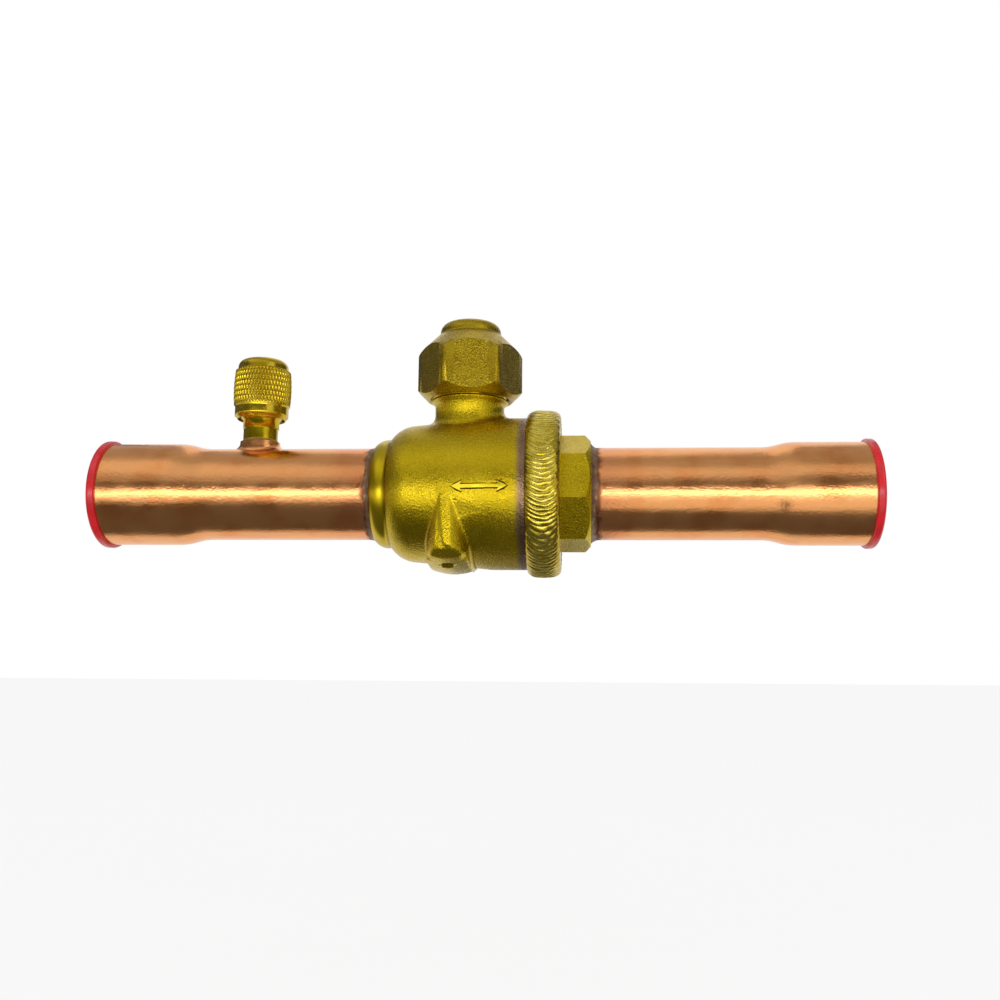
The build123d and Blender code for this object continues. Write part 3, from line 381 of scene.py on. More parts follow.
# brass and braze colours are given as (pale, main, dark)
BRASS = ((0.68, 0.51, 0.03), (0.60, 0.43, 0.012), (0.47, 0.32, 0.008))
SEAL_CAP_BRASS = ((0.56, 0.40, 0.035), (0.48, 0.335, 0.018), (0.38, 0.25, 0.012))
KNURLED_BRASS = ((0.70, 0.51, 0.05), (0.60, 0.42, 0.025), (0.46, 0.30, 0.012))
# the arrow's crest colours are a painted highlight, its flank colours painted shade
CREST_PAINTED_HIGHLIGHT_BRASS = ((0.78, 0.60, 0.06), (0.70, 0.52, 0.03), (0.58, 0.42, 0.015))
FLANK_PAINTED_SHADE_BRASS = ((0.22, 0.14, 0.01), (0.17, 0.11, 0.008), (0.12, 0.075, 0.005))
TUBE_BRAZE = ((0.42, 0.33, 0.13), (0.26, 0.15, 0.085), (0.13, 0.075, 0.05))
PORT_BRAZE = ((0.62, 0.42, 0.12), (0.50, 0.28, 0.07), (0.34, 0.19, 0.05))
HEAT_TINT = ((0.26, 0.15, 0.11), (0.20, 0.125, 0.105))
# the weld's crest colours are a painted highlight, its edge colours painted shade
WELD_CREST_PAINTED_HIGHLIGHT = ((0.74, 0.59, 0.10), (0.56, 0.42, 0.03))
WELD_EDGE_PAINTED_SHADE = ((0.56, 0.40, 0.02), (0.36, 0.24, 0.012))
COPPER = (0.90, 0.41, 0.15)
COPPER_DEEP = (0.80, 0.30, 0.09)
COPPER_WARMED = (0.72, 0.23, 0.10)
COPPER_BURNT = (0.17, 0.06, 0.035)
PLUG_RED = ((0.76, 0.008, 0.016), (0.56, 0.003, 0.008))

GRAIN_SIZE = 0.42 * MM
GRAIN_DEPTH = 0.16 * MM
GRAIN_ROUGHNESS = [(0.3, 0.38), (0.7, 0.22)]
TOOL_RINGS = 9000  # noise scale across the rings that a lathe tool leaves
TOOL_RING_DEPTH = 0.012 * MM
TURNED_ROUGHNESS = (0.29, 0.29, 0.29)
STAIN_ROUGHNESS = (0.45, 0.45, 0.45)


def two_tone(m, value, colours):
    """A pale and a dark colour laid out by a noise value."""
    pale, dark = colours
    return m.ramp(value, [(0.3, dark), (0.7, pale)])


def forged_grain(m, depth=GRAIN_DEPTH):
    """Blasted forging grain: a fine pebble on a slight unevenness. Gives its height and its normal."""
    fine = m.noise(1 / GRAIN_SIZE, detail=2.5, roughness=0.6)
    coarse = m.noise(0.2 / GRAIN_SIZE, detail=2.0)
    height = m.mix(0.3, fine, coarse)
    return height, m.bump(height, depth)


def tool_rings(m, axis):
    """The normal of fine lathe rings that follow one another along the given axis."""
    scale = [TOOL_RINGS if name == axis else 20 for name in "xyz"]
    return m.bump(m.noise(1.0, detail=2, vector=m.stretched(*scale)), TOOL_RING_DEPTH)


def brass_colour(m, colours=BRASS):
    """Brass with slow cloudy shifts and small darker freckles."""
    pale, main, dark = colours
    cloud = m.ramp(m.noise(95, detail=4), [(0.3, dark), (0.55, main), (0.8, pale)])
    freckle = m.ramp(m.noise(1400, detail=2), [(0.3, 0.0), (0.45, 1.0)])
    return m.mix(0.3, cloud, m.mix(freckle, dark, main))


def forged_brass(name, colours=BRASS, depth=GRAIN_DEPTH):
    m = Nodes(name)
    m.set(Metallic=1.0)
    height, grain = forged_grain(m, depth)
    rough = m.ramp(height, GRAIN_ROUGHNESS)
    return m.finish(Base_Color=brass_colour(m, colours), Normal=grain, Roughness=rough)


def body_material():
    """The body: blasted forging, with its turned collar, turned neck head and the weld's heat tint."""
    m = Nodes("body_brass")
    m.set(Metallic=1.0)
    x = m.axis("X")
    z = m.axis("Z")
    height, grain = forged_grain(m)
    collar = m.span(x, COLLAR_END + 0.15 * MM, COLLAR_END - 0.15 * MM)
    head = m.span(z, NECK_HEAD - 0.2 * MM, NECK_HEAD + 0.2 * MM)
    turned = m.math("MAXIMUM", collar, head)
    tint = m.span(m.wandering(x, 160, 3, 1.4 * MM), TINT_START, TINT_START + 1.4 * MM)
    tint_colour = two_tone(m, m.noise(500, detail=3), HEAT_TINT)
    return m.finish(
        Base_Color=m.mix(m.math("MULTIPLY", tint, 0.9), brass_colour(m), tint_colour),
        Normal=m.mix_normals(turned, grain, tool_rings(m, "x")),
        Roughness=m.mix(turned, m.ramp(height, GRAIN_ROUGHNESS), TURNED_ROUGHNESS),
    )


def turned_brass(name, axis, roughness, colours=BRASS):
    """Turned brass with fine tool rings across the given axis and smudges of handling."""
    m = Nodes(name)
    m.set(Metallic=1.0)
    smudge = m.ramp(m.noise(300, detail=5), [(0.35, roughness * 1.6), (0.65, roughness * 0.85)])
    return m.finish(Base_Color=brass_colour(m, colours), Normal=tool_rings(m, axis), Roughness=smudge)


def weld_material():
    """Weld metal: paler along the bead's crest, a painted highlight, and darker at its edges, painted shade
    where it meets the metal beside it.
    """
    m = Nodes("weld_brass")
    m.set(Metallic=1.0)
    fine = m.noise(1500, detail=4)
    # the band along the crest takes the painted highlight, the edges outside it take the painted shade
    crest = m.between(m.axis("X"), WELD_LOW + 1.2 * MM, WELD_HIGH - 1.2 * MM, 0.9 * MM)
    edge_shade_colour = two_tone(m, m.noise(700, detail=4), WELD_EDGE_PAINTED_SHADE)
    crest_highlight_colour = two_tone(m, m.noise(420, detail=4), WELD_CREST_PAINTED_HIGHLIGHT)
    return m.finish(
        Base_Color=m.mix(crest, edge_shade_colour, crest_highlight_colour),
        Normal=m.bump(fine, 0.05 * MM),
        Roughness=m.ramp(fine, [(0.3, 0.34), (0.7, 0.20)]),
    )


def copper_material(name, stain_edge, stain_side):
    """Bright drawn copper with lengthwise marks, scratches and a heat stain by the braze.

    The stain lies beyond stain_edge, towards +X where stain_side is 1 and towards -X where it is -1.
    """
    m = Nodes(name)
    m.set(Metallic=1.0)
    drawn = m.noise(1.0, detail=3, vector=m.stretched(40, 2400, 2400))
    scratch = m.noise(1.0, detail=1, vector=m.stretched(900, 140, 5200), distortion=0.4)
    scratch = m.ramp(scratch, [(0.70, 0.0), (0.76, 1.0)])
    marks = m.bump(m.mix(0.35, drawn, scratch), 0.010 * MM)
    waves = m.bump(m.noise(1.0, detail=3, vector=m.stretched(55, 130, 130)), 0.16 * MM, normal=marks)
    grain = m.bump(m.noise(1700, detail=3, roughness=0.6), 0.045 * MM, normal=waves)
    haze = m.noise(130, detail=5)
    past_edge = m.math("SUBTRACT", m.wandering(m.axis("X"), 420, 5, 3.4 * MM), stain_edge)
    past_edge = m.math("MULTIPLY", past_edge, stain_side)
    stain = m.span(past_edge, -0.4 * MM, 0.5 * MM)
    halo = m.span(past_edge, -10 * MM, 1 * MM)
    clean = m.ramp(haze, [(0.25, COPPER_DEEP), (0.6, COPPER)])
    warmed = m.mix(m.math("MULTIPLY", halo, 0.45), clean, COPPER_WARMED)
    return m.finish(
        Base_Color=m.mix(m.math("MULTIPLY", stain, 0.85), warmed, COPPER_BURNT),
        Normal=grain,
        Roughness=m.mix(stain, m.ramp(haze, [(0.3, 0.15), (0.7, 0.26)]), STAIN_ROUGHNESS),
    )


def braze_material(name, colours):
    """Braze filler: a scaly mottle."""
    m = Nodes(name)
    m.set(Metallic=0.85)
    pale, main, dark = colours
    scale = m.noise(650, detail=5, roughness=0.65)
    return m.finish(
        Base_Color=m.ramp(scale, [(0.25, dark), (0.5, main), (0.75, pale)]),
        Normal=m.bump(scale, 0.12 * MM),
        Roughness=m.ramp(scale, [(0.3, 0.62), (0.7, 0.38)]),
    )


def plug_material():
    """Red moulded plastic."""
    m = Nodes("plug_red")
    m.set(Coat_Weight=0.25)
    cloud = m.noise(220, detail=3)
    return m.finish(
        Base_Color=two_tone(m, cloud, PLUG_RED),
        Normal=m.bump(m.noise(2600, detail=2), 0.01 * MM),
        Roughness=m.ramp(cloud, [(0.3, 0.36), (0.7, 0.27)]),
    )


def plain_material(name, colours, roughness, metallic=0.0):
    """A hidden piece's finish: a two-tone cloud with a fine grain."""
    m = Nodes(name)
    m.set(Metallic=metallic)
    cloud = m.noise(260, detail=4)
    return m.finish(
        Base_Color=two_tone(m, cloud, colours),
        Normal=m.bump(m.noise(1500, detail=3), 0.01 * MM),
        Roughness=m.ramp(cloud, [(0.3, roughness * 1.25), (0.7, roughness * 0.9)]),
    )


# --- detailed pieces ---


def weld_bead(material):
    """The weld bead, laid in overlapping puddles: each ripple bows towards where the weld went."""
    middle = (WELD_LOW + WELD_HIGH) / 2
    half = (WELD_HIGH - WELD_LOW) / 2
    crest = (high("weld_bead").z - low("weld_bead").z) / 2
    ripples = 98
    across = 46
    edge_inset = 0.1 * MM
    edge_sink = 0.15 * MM
    puddle_depth = 0.17 * MM
    wobble_depth = 0.05 * MM
    side_wave = 0.10 * MM
    profile = []
    for index in range(across + 1):
        share = -1 + 2 * index / across
        rise = (1 - abs(share) ** 3.2) ** (1 / 1.9)
        profile.append((middle + half * share, WELD_ROOT + (crest - WELD_ROOT) * rise))
    profile.append((WELD_HIGH - edge_inset, WELD_ROOT - edge_sink))
    profile.append((WELD_LOW + edge_inset, WELD_ROOT - edge_sink))

    def ripple(index, along, radius, turn):
        if index > across:
            return along, radius
        share = -1 + 2 * index / across
        unevenness = 0.35 * math.sin(5 * turn + 1.0) + 0.25 * math.sin(11 * turn + 4.0)
        phase = ripples * turn / FULL_TURN + 1.8 * (1 - share * share) + unevenness
        step = 1 - (2 * (phase % 1) - 0.9) ** 2
        depth = puddle_depth * (1 - abs(share) ** 4)
        wobble = wobble_depth * (math.sin(17 * turn + 3 * share) + math.sin(41 * turn + 7 * share) - 2)
        side = side_wave * math.sin(23 * turn) * share * abs(share)
        fade = 1 - abs(share) ** 6
        return along - abs(side), radius - (depth * (1 - step) - wobble) * fade

    piece = turned_piece(
        "weld_bead_rippled", profile, 16 * ripples, along_x, ripple, "valve", material
    )
    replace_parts(piece, "weld_bead")


def knurled_cap(material):
    """The access port's cap: plain foot band, diamond knurl, round crown, and a threaded hollow."""
    foot, top = low("port_cap").z, high("port_cap").z
    ceiling = high("port_cap_seal").z + 0.05 * MM
    grip_r = (high("port_cap").x - low("port_cap").x) / 2
    band_r = grip_r - 0.5 * MM
    crown_r = grip_r - 0.85 * MM
    bore_r = 5.60 * MM
    middle_r = 0.4 * MM
    foot_chamfer = 0.8 * MM
    crown_round = 1.9 * MM
    grip_low = foot + 3.6 * MM
    grip_top = foot + 12.1 * MM
    grip_points = 46
    belly = 0.22 * MM
    starts = 52
    lead = (grip_top - grip_low) / 6.5
    knurl_depth = 0.28 * MM
    thread_foot = foot + 0.3 * MM
    thread_head = grip_top - 1.2 * MM
    thread_points = 44
    groove_depth = 0.45 * MM

    outer = list(line((foot, band_r - foot_chamfer), (foot + foot_chamfer, band_r), 4))
    outer += list(line((foot + foot_chamfer, band_r), (grip_low, band_r), 6))
    grip_start = len(outer)
    for index in range(grip_points + 1):
        share = index / grip_points
        outer.append((grip_low + (grip_top - grip_low) * share, grip_r - belly * (2 * share - 0.9) ** 2))
    grip_end = len(outer)
    outer.append((grip_top + 0.1 * MM, crown_r + 0.25 * MM))
    outer += list(line((grip_top + 0.3 * MM, crown_r), (top - crown_round, crown_r), 4))
    outer += list(arc((top - crown_round, crown_r - crown_round), crown_round, 90, 0, 10))
    outer.append((top, middle_r))
    inner = [(ceiling, middle_r), (ceiling, bore_r)]
    thread_start = len(outer) + len(inner)
    inner += list(line((thread_head, bore_r), (thread_foot, bore_r), thread_points))
    inner += [(thread_foot, bore_r), (foot, bore_r + 0.15 * MM)]

    def knurl(index, along, radius, turn):
        if thread_start <= index < thread_start + thread_points:
            share = thread_depth(along, turn, thread_foot, thread_head, PORT_PITCH)
            return along, radius + groove_depth * share
        if not grip_start <= index < grip_end:
            return along, radius
        share = (along - grip_low) / (grip_top - grip_low)
        rows = (along - grip_low) / lead
        one = starts * turn / FULL_TURN + rows / 2
        other = starts * turn / FULL_TURN - rows / 2
        ridge = min(abs((one % 1) - 0.5), abs((other % 1) - 0.5)) * 2
        depth = knurl_depth * smoothstep(0, 0.03, share) * smoothstep(0, 0.03, 1 - share)
        return along, radius - depth * (1 - smoothstep(0.0, 0.8, ridge))

    profile = outer + inner
    piece = turned_piece(
        "port_cap_knurled", profile, 12 * starts, about_z(PORT), knurl, "port_cap", material
    )
    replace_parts(piece, "port_cap")


def braze_fillet(name, node, face_side, material):
    """Filler that wet the tube unevenly: a hollow fillet with a ragged tip.

    Its face is at the node's +X end where face_side is 1, and at its -X end where it is -1.
    """
    box_low, box_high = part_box(node)
    face, tip = (box_high.x, box_low.x) if face_side > 0 else (box_low.x, box_high.x)
    root = (box_high.z - box_low.z) / 2
    thin = TUBE_R + 0.02 * MM
    across = 12
    steps = 360
    profile = []
    for index in range(across + 1):
        profile.append((face, thin + (root - thin) * (1 - index / across) ** 1.9))
    profile.append((face, TUBE_R + 0.005 * MM))

    def ragged(index, along, radius, turn):
        if index > across:
            return along, radius
        share = index / across
        lap = 0.16 * math.sin(3 * turn + 0.6) + 0.12 * math.sin(8 * turn + 2.0) + 0.08 * math.sin(19 * turn)
        reach = min(0.72 + lap * 0.8, 1.0)
        swell = 1 + 0.10 * (math.sin(5 * turn + share * 3) - 1)
        return face + (tip - face) * share * reach, TUBE_R + (radius - TUBE_R) * swell

    piece = turned_piece(name, profile, steps, along_x, ragged, "valve", material)
    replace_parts(piece, node)


def threaded(node, name, body, material, centre, radius, pitch, depth):
    """A CAD node with a real thread on one of its plain walls."""
    bm = mesh_copy(node)
    cut_thread(bm, centre, radius, pitch, depth)
    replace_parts(piece_from(bm, name, body, material, sharp=20), node)


def soften_keel(bm):
    """Rounds the keel's toes and edges as the forging has them, inside the CAD form."""
    middle = STEM.x - 3.5 * MM
    half = 4.8 * MM
    reach = 17.25 * MM
    barrel = 17.6 * MM
    top = STEM.z - 3 * MM
    longest_edge = 0.9 * MM
    round_from, round_to = 12 * MM, 19.3 * MM
    toe_rise = 3.4 * MM
    side_rise = 0.9 * MM
    hole_offset = 10.5 * MM
    hole_clear = 1.9 * MM

    def in_keel(v, spread=0.0):
        radius = math.hypot(v.co.y - STEM.y, v.co.z - STEM.z)
        return abs(v.co.x - middle) < half + spread and v.co.z < top and radius > barrel - spread

    def is_long(edge):
        return edge.calc_length() > longest_edge and all(in_keel(v, 0.2 * MM) for v in edge.verts)

    def by_hole(v):
        away = math.hypot(v.co.x - middle, abs(v.co.y - STEM.y) - hole_offset)
        return abs(v.co.z - STEM.z) > 8 * MM and away < hole_clear

    for _ in range(4):
        long_edges = [e for e in bm.edges if is_long(e)]
        if not long_edges:
            break
        bmesh.ops.subdivide_edges(bm, edges=long_edges, cuts=1)
        bmesh.ops.triangulate(bm, faces=[f for f in bm.faces if len(f.verts) > 4])
    for v in bm.verts:
        if not in_keel(v):
            continue
        across = min(abs(v.co.x - middle) / half, 1.0)
        along = min(abs(v.co.y - STEM.y) / reach, 1.0)
        share = smoothstep(round_from, round_to, STEM.z - v.co.z)
        v.co.z += share * (toe_rise * along**2.2 + side_rise * across**2)
    loose = [v for v in bm.verts if in_keel(v, -0.1 * MM) and not by_hole(v)]
    for _ in range(9):
        bmesh.ops.smooth_vert(bm, verts=loose, factor=0.5, use_axis_x=True, use_axis_y=True, use_axis_z=True)


def body_piece(material):
    """The forged body with its neck thread and its rounded keel."""
    bm = mesh_copy("valve_body")
    cut_thread(bm, STEM, NECK_THREAD_R, NECK_PITCH, 0.75 * MM)
    soften_keel(bm)
    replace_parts(piece_from(bm, "valve_body_forging", "valve", material), "valve_body")


def flow_arrow(crest, shaded_flank):
    """A raised double-headed arrow on the body's front: the valve passes flow both ways. Its crest takes a
    paler painted highlight and its walls a dark painted shade.
    """
    middle_x = STEM.x + 4.2 * MM
    height = -0.8 * MM
    reach = 6.4 * MM
    head = 2.4 * MM
    head_rise = 1.2 * MM
    shaft = 0.4 * MM
    proud = 0.34 * MM
    sink = 0.12 * MM
    spread = 0.45 * MM
    half_outline = [(-reach, 0.0), (-reach + head, head_rise), (-reach + head * 0.85, shaft)]
    half_outline += [(-x, z) for x, z in reversed(half_outline)]
    outline = half_outline + [(-x, -z) for x, z in half_outline[1:-1]]

    bm = bmesh.new()
    face = bm.faces.new([bm.verts.new((x, 0, z)) for x, z in outline])
    raised = bmesh.ops.extrude_face_region(bm, geom=[face])
    for vertex in raised["geom"]:
        if isinstance(vertex, bmesh.types.BMVert):
            vertex.co.y = -1
    bmesh.ops.triangulate(bm, faces=bm.faces)
    bmesh.ops.subdivide_edges(bm, edges=[e for e in bm.edges if e.calc_length() > 1.5 * MM], cuts=4)
    # crest faces take the first finish, a paler painted highlight; the walls take the second, a dark painted
    # shade
    for face in bm.faces:
        face.material_index = 0 if all(vertex.co.y < -0.99 for vertex in face.verts) else 1
    surface = surface_of("valve_body")
    for vertex in bm.verts:
        x, z = vertex.co.x, vertex.co.z
        on_crest = vertex.co.y <= -0.5
        if not on_crest:
            z += math.copysign(min(spread, abs(z)), z)
            x += math.copysign(spread * smoothstep(reach - head, reach, abs(x)), x)
        start = Vector((middle_x + x, low("valve_body").y - 1 * MM, STEM.z + height + z))
        hit = surface.ray_cast(start, Vector((0, 1, 0)))[0]
        outward = Vector((0, hit.y - STEM.y, hit.z - STEM.z)).normalized()
        vertex.co = hit + outward * (proud if on_crest else -sink)
    piece = piece_from(bm, "flow_arrow", "valve", crest)
    piece.data.materials.append(shaded_flank)


def closing_spring(material):
    """The core's spring, as an added piece with a mesh of its own in place of the CAD node."""
    piece = piece_from(mesh_copy("core_spring"), "core_spring_coil", "valve", material)
    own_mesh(piece)
    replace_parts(piece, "core_spring")


# --- looks of the CAD nodes ---


def paint(node, material):
    """Gives a CAD node its finish, smooth except at sharp edges."""
    mesh = frame["nodes"][node].data
    mesh.materials.clear()
    mesh.materials.append(material)
    mesh.polygons.foreach_set("use_smooth", [True] * len(mesh.polygons))
    mesh.set_sharp_from_angle(angle=math.radians(20))


white = plain_material("seat_ptfe", ((0.86, 0.85, 0.80), (0.74, 0.73, 0.68)), 0.4)
black = plain_material("seal_rubber", ((0.035, 0.035, 0.035), (0.012, 0.012, 0.012)), 0.5)
chrome = plain_material("ball_plating", ((0.80, 0.80, 0.80), (0.66, 0.66, 0.67)), 0.1, metallic=1.0)
steel = plain_material("stem_steel", ((0.62, 0.61, 0.57), (0.46, 0.45, 0.42)), 0.28, metallic=1.0)
wire = plain_material("spring_steel", ((0.52, 0.52, 0.52), (0.34, 0.34, 0.34)), 0.25, metallic=1.0)
body_brass = body_material()
cap_forged = forged_brass("cap_forged_brass", SEAL_CAP_BRASS, 0.15 * MM)
port_brass = turned_brass("port_brass", "z", 0.16)
core_brass = turned_brass("core_brass", "z", 0.22)
braze = braze_material("braze_filler", TUBE_BRAZE)
red = plug_material()

LOOKS = {
    "valve_body": body_brass,
    "end_connector": forged_brass("connector_brass", depth=0.2 * MM),
    "seal_cap": cap_forged,
    "inlet_tube": copper_material("copper_inlet", BODY_START - 1.5 * MM, 1),
    "outlet_tube": copper_material("copper_outlet", high("end_connector").x + 2.2 * MM, -1),
    "access_port_body": port_brass,
    "port_braze_ring": braze_material("port_braze_filler", PORT_BRAZE),
    "core_body": core_brass,
    "core_pin": core_brass,
    "inlet_ball_seat": white,
    "outlet_ball_seat": white,
    "stem_thrust_washer": white,
    "stem_o_ring_lower": black,
    "stem_o_ring_upper": black,
    "core_ring": black,
    "seal_cap_gasket": black,
    "port_cap_seal": black,
    "ball": chrome,
    "stem": steel,
    "stop_plate": steel,
    "stop_plate_clip": wire,
    "stop_pin": wire,
    "core_spring": wire,
    "inlet_plug": red,
    "outlet_plug": red,
}
for node_name, look in LOOKS.items():
    paint(node_name, look)

weld_bead(weld_material())
knurled_cap(turned_brass("cap_brass", "z", 0.2, KNURLED_BRASS))
braze_fillet("inlet_braze_fillet", "inlet_braze_ring", 1, braze)
braze_fillet("outlet_braze_fillet", "outlet_braze_ring", -1, braze)
# the arrow's crest finish is a painted highlight, its flank finish painted shade
flow_arrow(
    turned_brass("arrow_crest_painted_highlight", "x", 0.24, CREST_PAINTED_HIGHLIGHT_BRASS),
    turned_brass("arrow_flank_painted_shade", "x", 0.45, FLANK_PAINTED_SHADE_BRASS),
)
closing_spring(wire)
body_piece(body_brass)
threaded(
    "seal_cap", "seal_cap_threaded", "seal_cap", cap_forged,
    STEM, NECK_THREAD_R + THREAD_GAP, NECK_PITCH, -0.7 * MM,
)
threaded(
    "access_port_body", "access_port_threaded", "valve", port_brass,
    PORT, PORT_THREAD_R, PORT_PITCH, 0.55 * MM,
)


# --- camera, light and floor ---

CAMERA_DISTANCE = 0.259
CAMERA_ELEVATION = math.radians(-9.0)
CAMERA_TURN = math.radians(3.0)
CAMERA_ROLL = math.radians(0.38)
CAMERA_FIELD = math.radians(50.0)
CAMERA_SHIFT = (-0.0265, -0.0120)
CAMERA_AIM = Vector((STEM.x + 14.0 * MM, 0, 1.5 * MM))

# name, place from the stem, size and watts of each lamp
LAMPS = (
    ("key", (-0.25, -0.55, 0.55), (1.2, 0.7), 1.0),
    ("fill", (0.5, -0.45, 0.3), (0.4, 0.4), 0.5),
    ("front", (0.0, -0.62, -0.125), (0.9, 0.25), 2.6),
)
WORLD_LIGHT = 0.55  # the world's strength as a light; it looks fully white

FLOOR_DROP = 0.11
FLOOR_SIZE = 3.0
FLOOR_GLOW = 0.85
FLOOR_WHITE = 0.93

# the two cards bent round the object reach this many degrees to each side of its front
BEND = 150
BEND_STRIPS = 36
FLAG_OUT = 0.9
FLAG_LOW, FLAG_HIGH = 3, 33
FLAG_GREY = 0.24
CANOPY_OUT = 1.1
CANOPY_TOP = 96
CANOPY_RINGS = 8
CANOPY_GREY = 0.80

# the cards that lie on the floor
CARD_LEVEL = -FLOOR_DROP + 0.002
CARD_NEAR = -FLOOR_DROP / math.tan(math.radians(26))
CARD_FAR = FLOOR_DROP * math.tan(math.radians(20))
LOWER_GREY = 0.20
# the grey card behind the object is a painted shadow of the object on the floor, seen only in reflections
REAR_LEFT, REAR_RIGHT, REAR_END = -0.024, 0.036, 0.8
REAR_SHADOW_GREY = 0.55
PANEL_LEFT, PANEL_RIGHT, PANEL_END = 0.024, 0.26, -0.105
PANEL_LEVEL = CARD_LEVEL + 0.002
PANEL_GREY = 0.8
PANEL_GLOW = 0.5


def seen_directly(tree):
    """1 for rays from the camera, a reflection or a refraction, 0 for light that falls on things."""
    rays = tree.nodes.new("ShaderNodeLightPath")
    seen = rays.outputs["Is Camera Ray"]
    for kind in ("Is Glossy Ray", "Is Transmission Ray"):
        either = tree.nodes.new("ShaderNodeMath")
        either.operation = "MAXIMUM"
        tree.links.new(seen, either.inputs[0])
        tree.links.new(rays.outputs[kind], either.inputs[1])
        seen = either.outputs[0]
    return seen


def studio():
    """A world that looks white and lights the object less than that."""
    world = bpy.data.worlds.new("studio")
    bpy.context.scene.world = world
    world.use_nodes = True
    tree = world.node_tree
    strength = tree.nodes.new("ShaderNodeMapRange")
    strength.inputs["To Min"].default_value = WORLD_LIGHT
    strength.inputs["To Max"].default_value = 1.0
    background = tree.nodes["Background"]
    background.inputs["Color"].default_value = (1, 1, 1, 1)
    tree.links.new(seen_directly(tree), strength.inputs["Value"])
    tree.links.new(strength.outputs["Result"], background.inputs["Strength"])


def lamp(name, offset, size, power):
    """A rectangular lamp that faces the stem."""
    data = bpy.data.lights.new(name, "AREA")
    data.shape = "RECTANGLE"
    data.size, data.size_y = size
    data.energy = power
    light = bpy.data.objects.new(name, data)
    bpy.context.scene.collection.objects.link(light)
    target = Vector((STEM.x, 0, 0))
    light.location = target + Vector(offset)
    light.rotation_euler = (-Vector(offset)).to_track_quat("-Z", "Y").to_euler()


def stage_object(name, corners, material):
    """A surface of four-cornered faces, such as the floor or a card."""
    mesh = bpy.data.meshes.new(name)
    mesh.from_pydata(corners, [], [tuple(range(i, i + 4)) for i in range(0, len(corners), 4)])
    surface = bpy.data.objects.new(name, mesh)
    bpy.context.scene.collection.objects.link(surface)
    surface.data.materials.append(material)
    return surface


def rectangle(left, right, near, far, level):
    """Corners of a level rectangle, with left and right counted from the stem."""
    return [(STEM.x + x, y, level) for x, y in ((left, near), (right, near), (right, far), (left, far))]


def floor_material():
    """A matt floor, which looks white from the camera and in reflections and is clear from below."""
    m = Nodes("floor_white")
    m.set(Roughness=0.9, Specular_IOR_Level=0.1)
    shade = two_tone(m, m.noise(30, detail=3), ((FLOOR_WHITE,) * 3, (FLOOR_WHITE * 0.985,) * 3))
    m.link(shade, m.shader.inputs["Base Color"])
    glow = m.new("ShaderNodeEmission")
    lit = m.new("ShaderNodeMixShader")
    m.link(m.math("MULTIPLY", seen_directly(m.tree), FLOOR_GLOW), lit.inputs["Fac"])
    m.link(m.shader.outputs["BSDF"], lit.inputs[1])
    m.link(glow.outputs["Emission"], lit.inputs[2])
    clear = m.new("ShaderNodeBsdfTransparent")
    sided = m.new("ShaderNodeMixShader")
    m.link(m.new("ShaderNodeNewGeometry").outputs["Backfacing"], sided.inputs["Fac"])
    m.link(lit.outputs["Shader"], sided.inputs[1])
    m.link(clear.outputs["BSDF"], sided.inputs[2])
    m.link(sided.outputs["Shader"], m.tree.nodes["Material Output"].inputs["Surface"])
    return m.material


def floor():
    middle = (CAD_BOX[0][0] + CAD_BOX[1][0]) / 2 - STEM.x
    corners = rectangle(middle - FLOOR_SIZE, middle + FLOOR_SIZE, -FLOOR_SIZE, FLOOR_SIZE, -FLOOR_DROP)
    stage_object("floor", corners, floor_material())


def card_material(name, level, glow):
    """A matt card, or a glowing panel."""
    m = Nodes(name)
    m.set(Roughness=1.0, Specular_IOR_Level=0.0, Emission_Strength=glow, Emission_Color=(1, 0.96, 0.88, 1))
    return m.finish(Base_Color=m.ramp(m.noise(3, detail=2), [(0.3, level * 0.7), (0.7, level)]))


def card(name, corners, level, glow=0.0):
    """A studio card that only reflections see, so that the metal shows the contrast of a real shoot."""
    surface = stage_object(name, corners, card_material(name, level, glow))
    surface.visible_camera = False
    surface.visible_diffuse = False
    surface.visible_shadow = False
    surface.visible_transmission = False


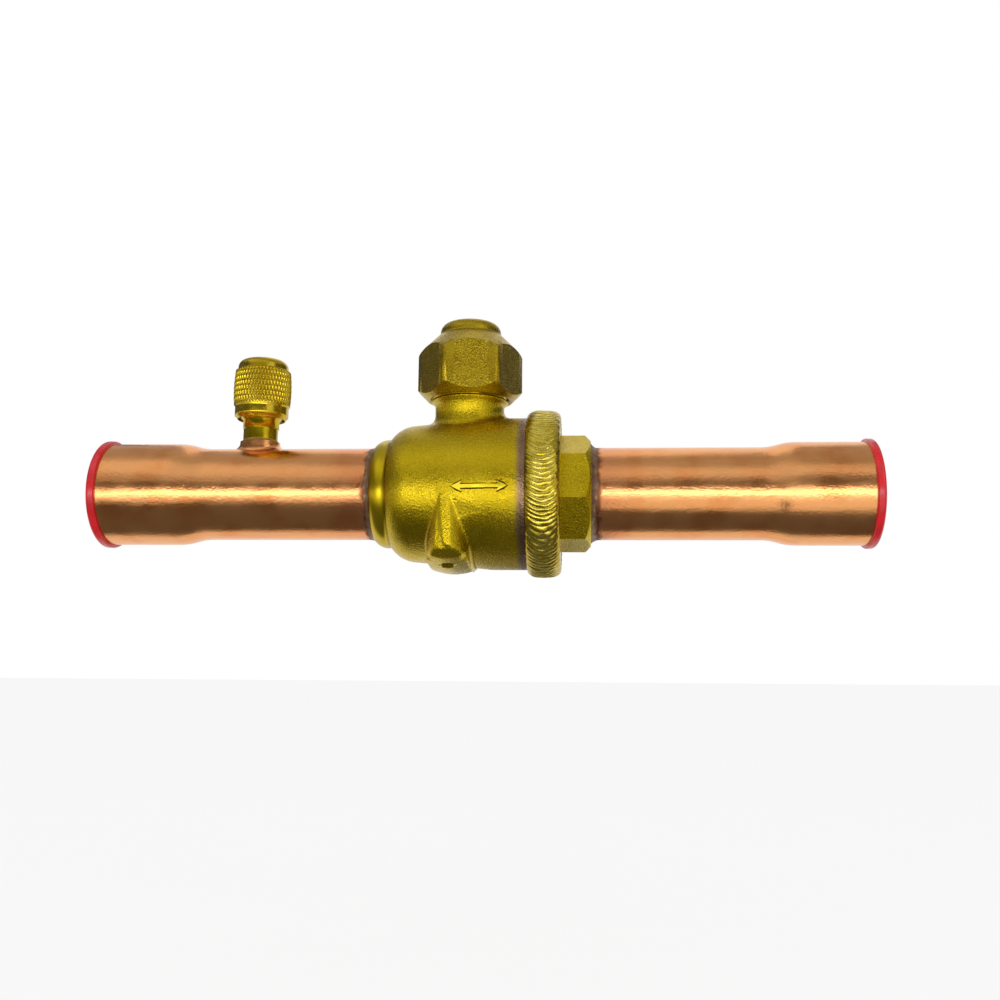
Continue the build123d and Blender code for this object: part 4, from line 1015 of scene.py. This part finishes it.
def bent_round(place, rings):
    """Corners of a card bent round the object. place(share) gives how far out and how high it is."""
    corners = []
    for index in range(BEND_STRIPS):
        for ring in range(rings):
            for strip, part in ((index, ring), (index + 1, ring), (index + 1, ring + 1), (index, ring + 1)):
                turn = math.radians(-BEND + 2 * BEND * strip / BEND_STRIPS)
                out, height = place(part / rings)
                corners.append((STEM.x + out * math.sin(turn), -out * math.cos(turn), height))
    return corners


def upper_flag(share):
    """An upright wall above the camera's height."""
    return FLAG_OUT, FLAG_OUT * math.tan(math.radians(FLAG_LOW + (FLAG_HIGH - FLAG_LOW) * share))


def canopy(share):
    """A dome over the object from the wall's upper edge."""
    rise = math.radians(FLAG_HIGH + (CANOPY_TOP - FLAG_HIGH) * share)
    return CANOPY_OUT * math.cos(rise), CANOPY_OUT * math.sin(rise)


def cards():
    """Dark wall, grey canopy, a dark card under the object, a grey card behind it that is a painted shadow of
    the object on the floor, and a pale panel before it.
    """
    card("upper_flag", bent_round(upper_flag, 1), FLAG_GREY)
    card("canopy", bent_round(canopy, CANOPY_RINGS), CANOPY_GREY)
    card("lower_flag", rectangle(-1, 1, CARD_NEAR, CARD_FAR, CARD_LEVEL), LOWER_GREY)
    # painted shadow of the object on the floor, for reflections
    card("rear_shadow_card", rectangle(REAR_LEFT, REAR_RIGHT, CARD_FAR, REAR_END, CARD_LEVEL), REAR_SHADOW_GREY)
    panel = rectangle(PANEL_LEFT, PANEL_RIGHT, CARD_NEAR, PANEL_END, PANEL_LEVEL)
    card("low_panel", panel, PANEL_GREY, glow=PANEL_GLOW)


def camera():
    data = bpy.data.cameras.new("camera")
    data.angle = CAMERA_FIELD
    data.clip_start = 0.01
    data.shift_x, data.shift_y = CAMERA_SHIFT
    view = bpy.data.objects.new("camera", data)
    bpy.context.scene.collection.objects.link(view)
    level = math.cos(CAMERA_ELEVATION)
    direction = Vector(
        (math.sin(CAMERA_TURN) * level, -math.cos(CAMERA_TURN) * level, math.sin(CAMERA_ELEVATION))
    )
    view.location = CAMERA_AIM + direction * CAMERA_DISTANCE
    view.rotation_euler = (-direction).to_track_quat("-Z", "Y").to_euler()
    view.rotation_euler.rotate_axis("Z", CAMERA_ROLL)
    bpy.context.scene.camera = view


studio()
floor()
cards()
camera()
for settings in LAMPS:
    lamp(*settings)
bpy.context.scene.view_settings.view_transform = "Standard"
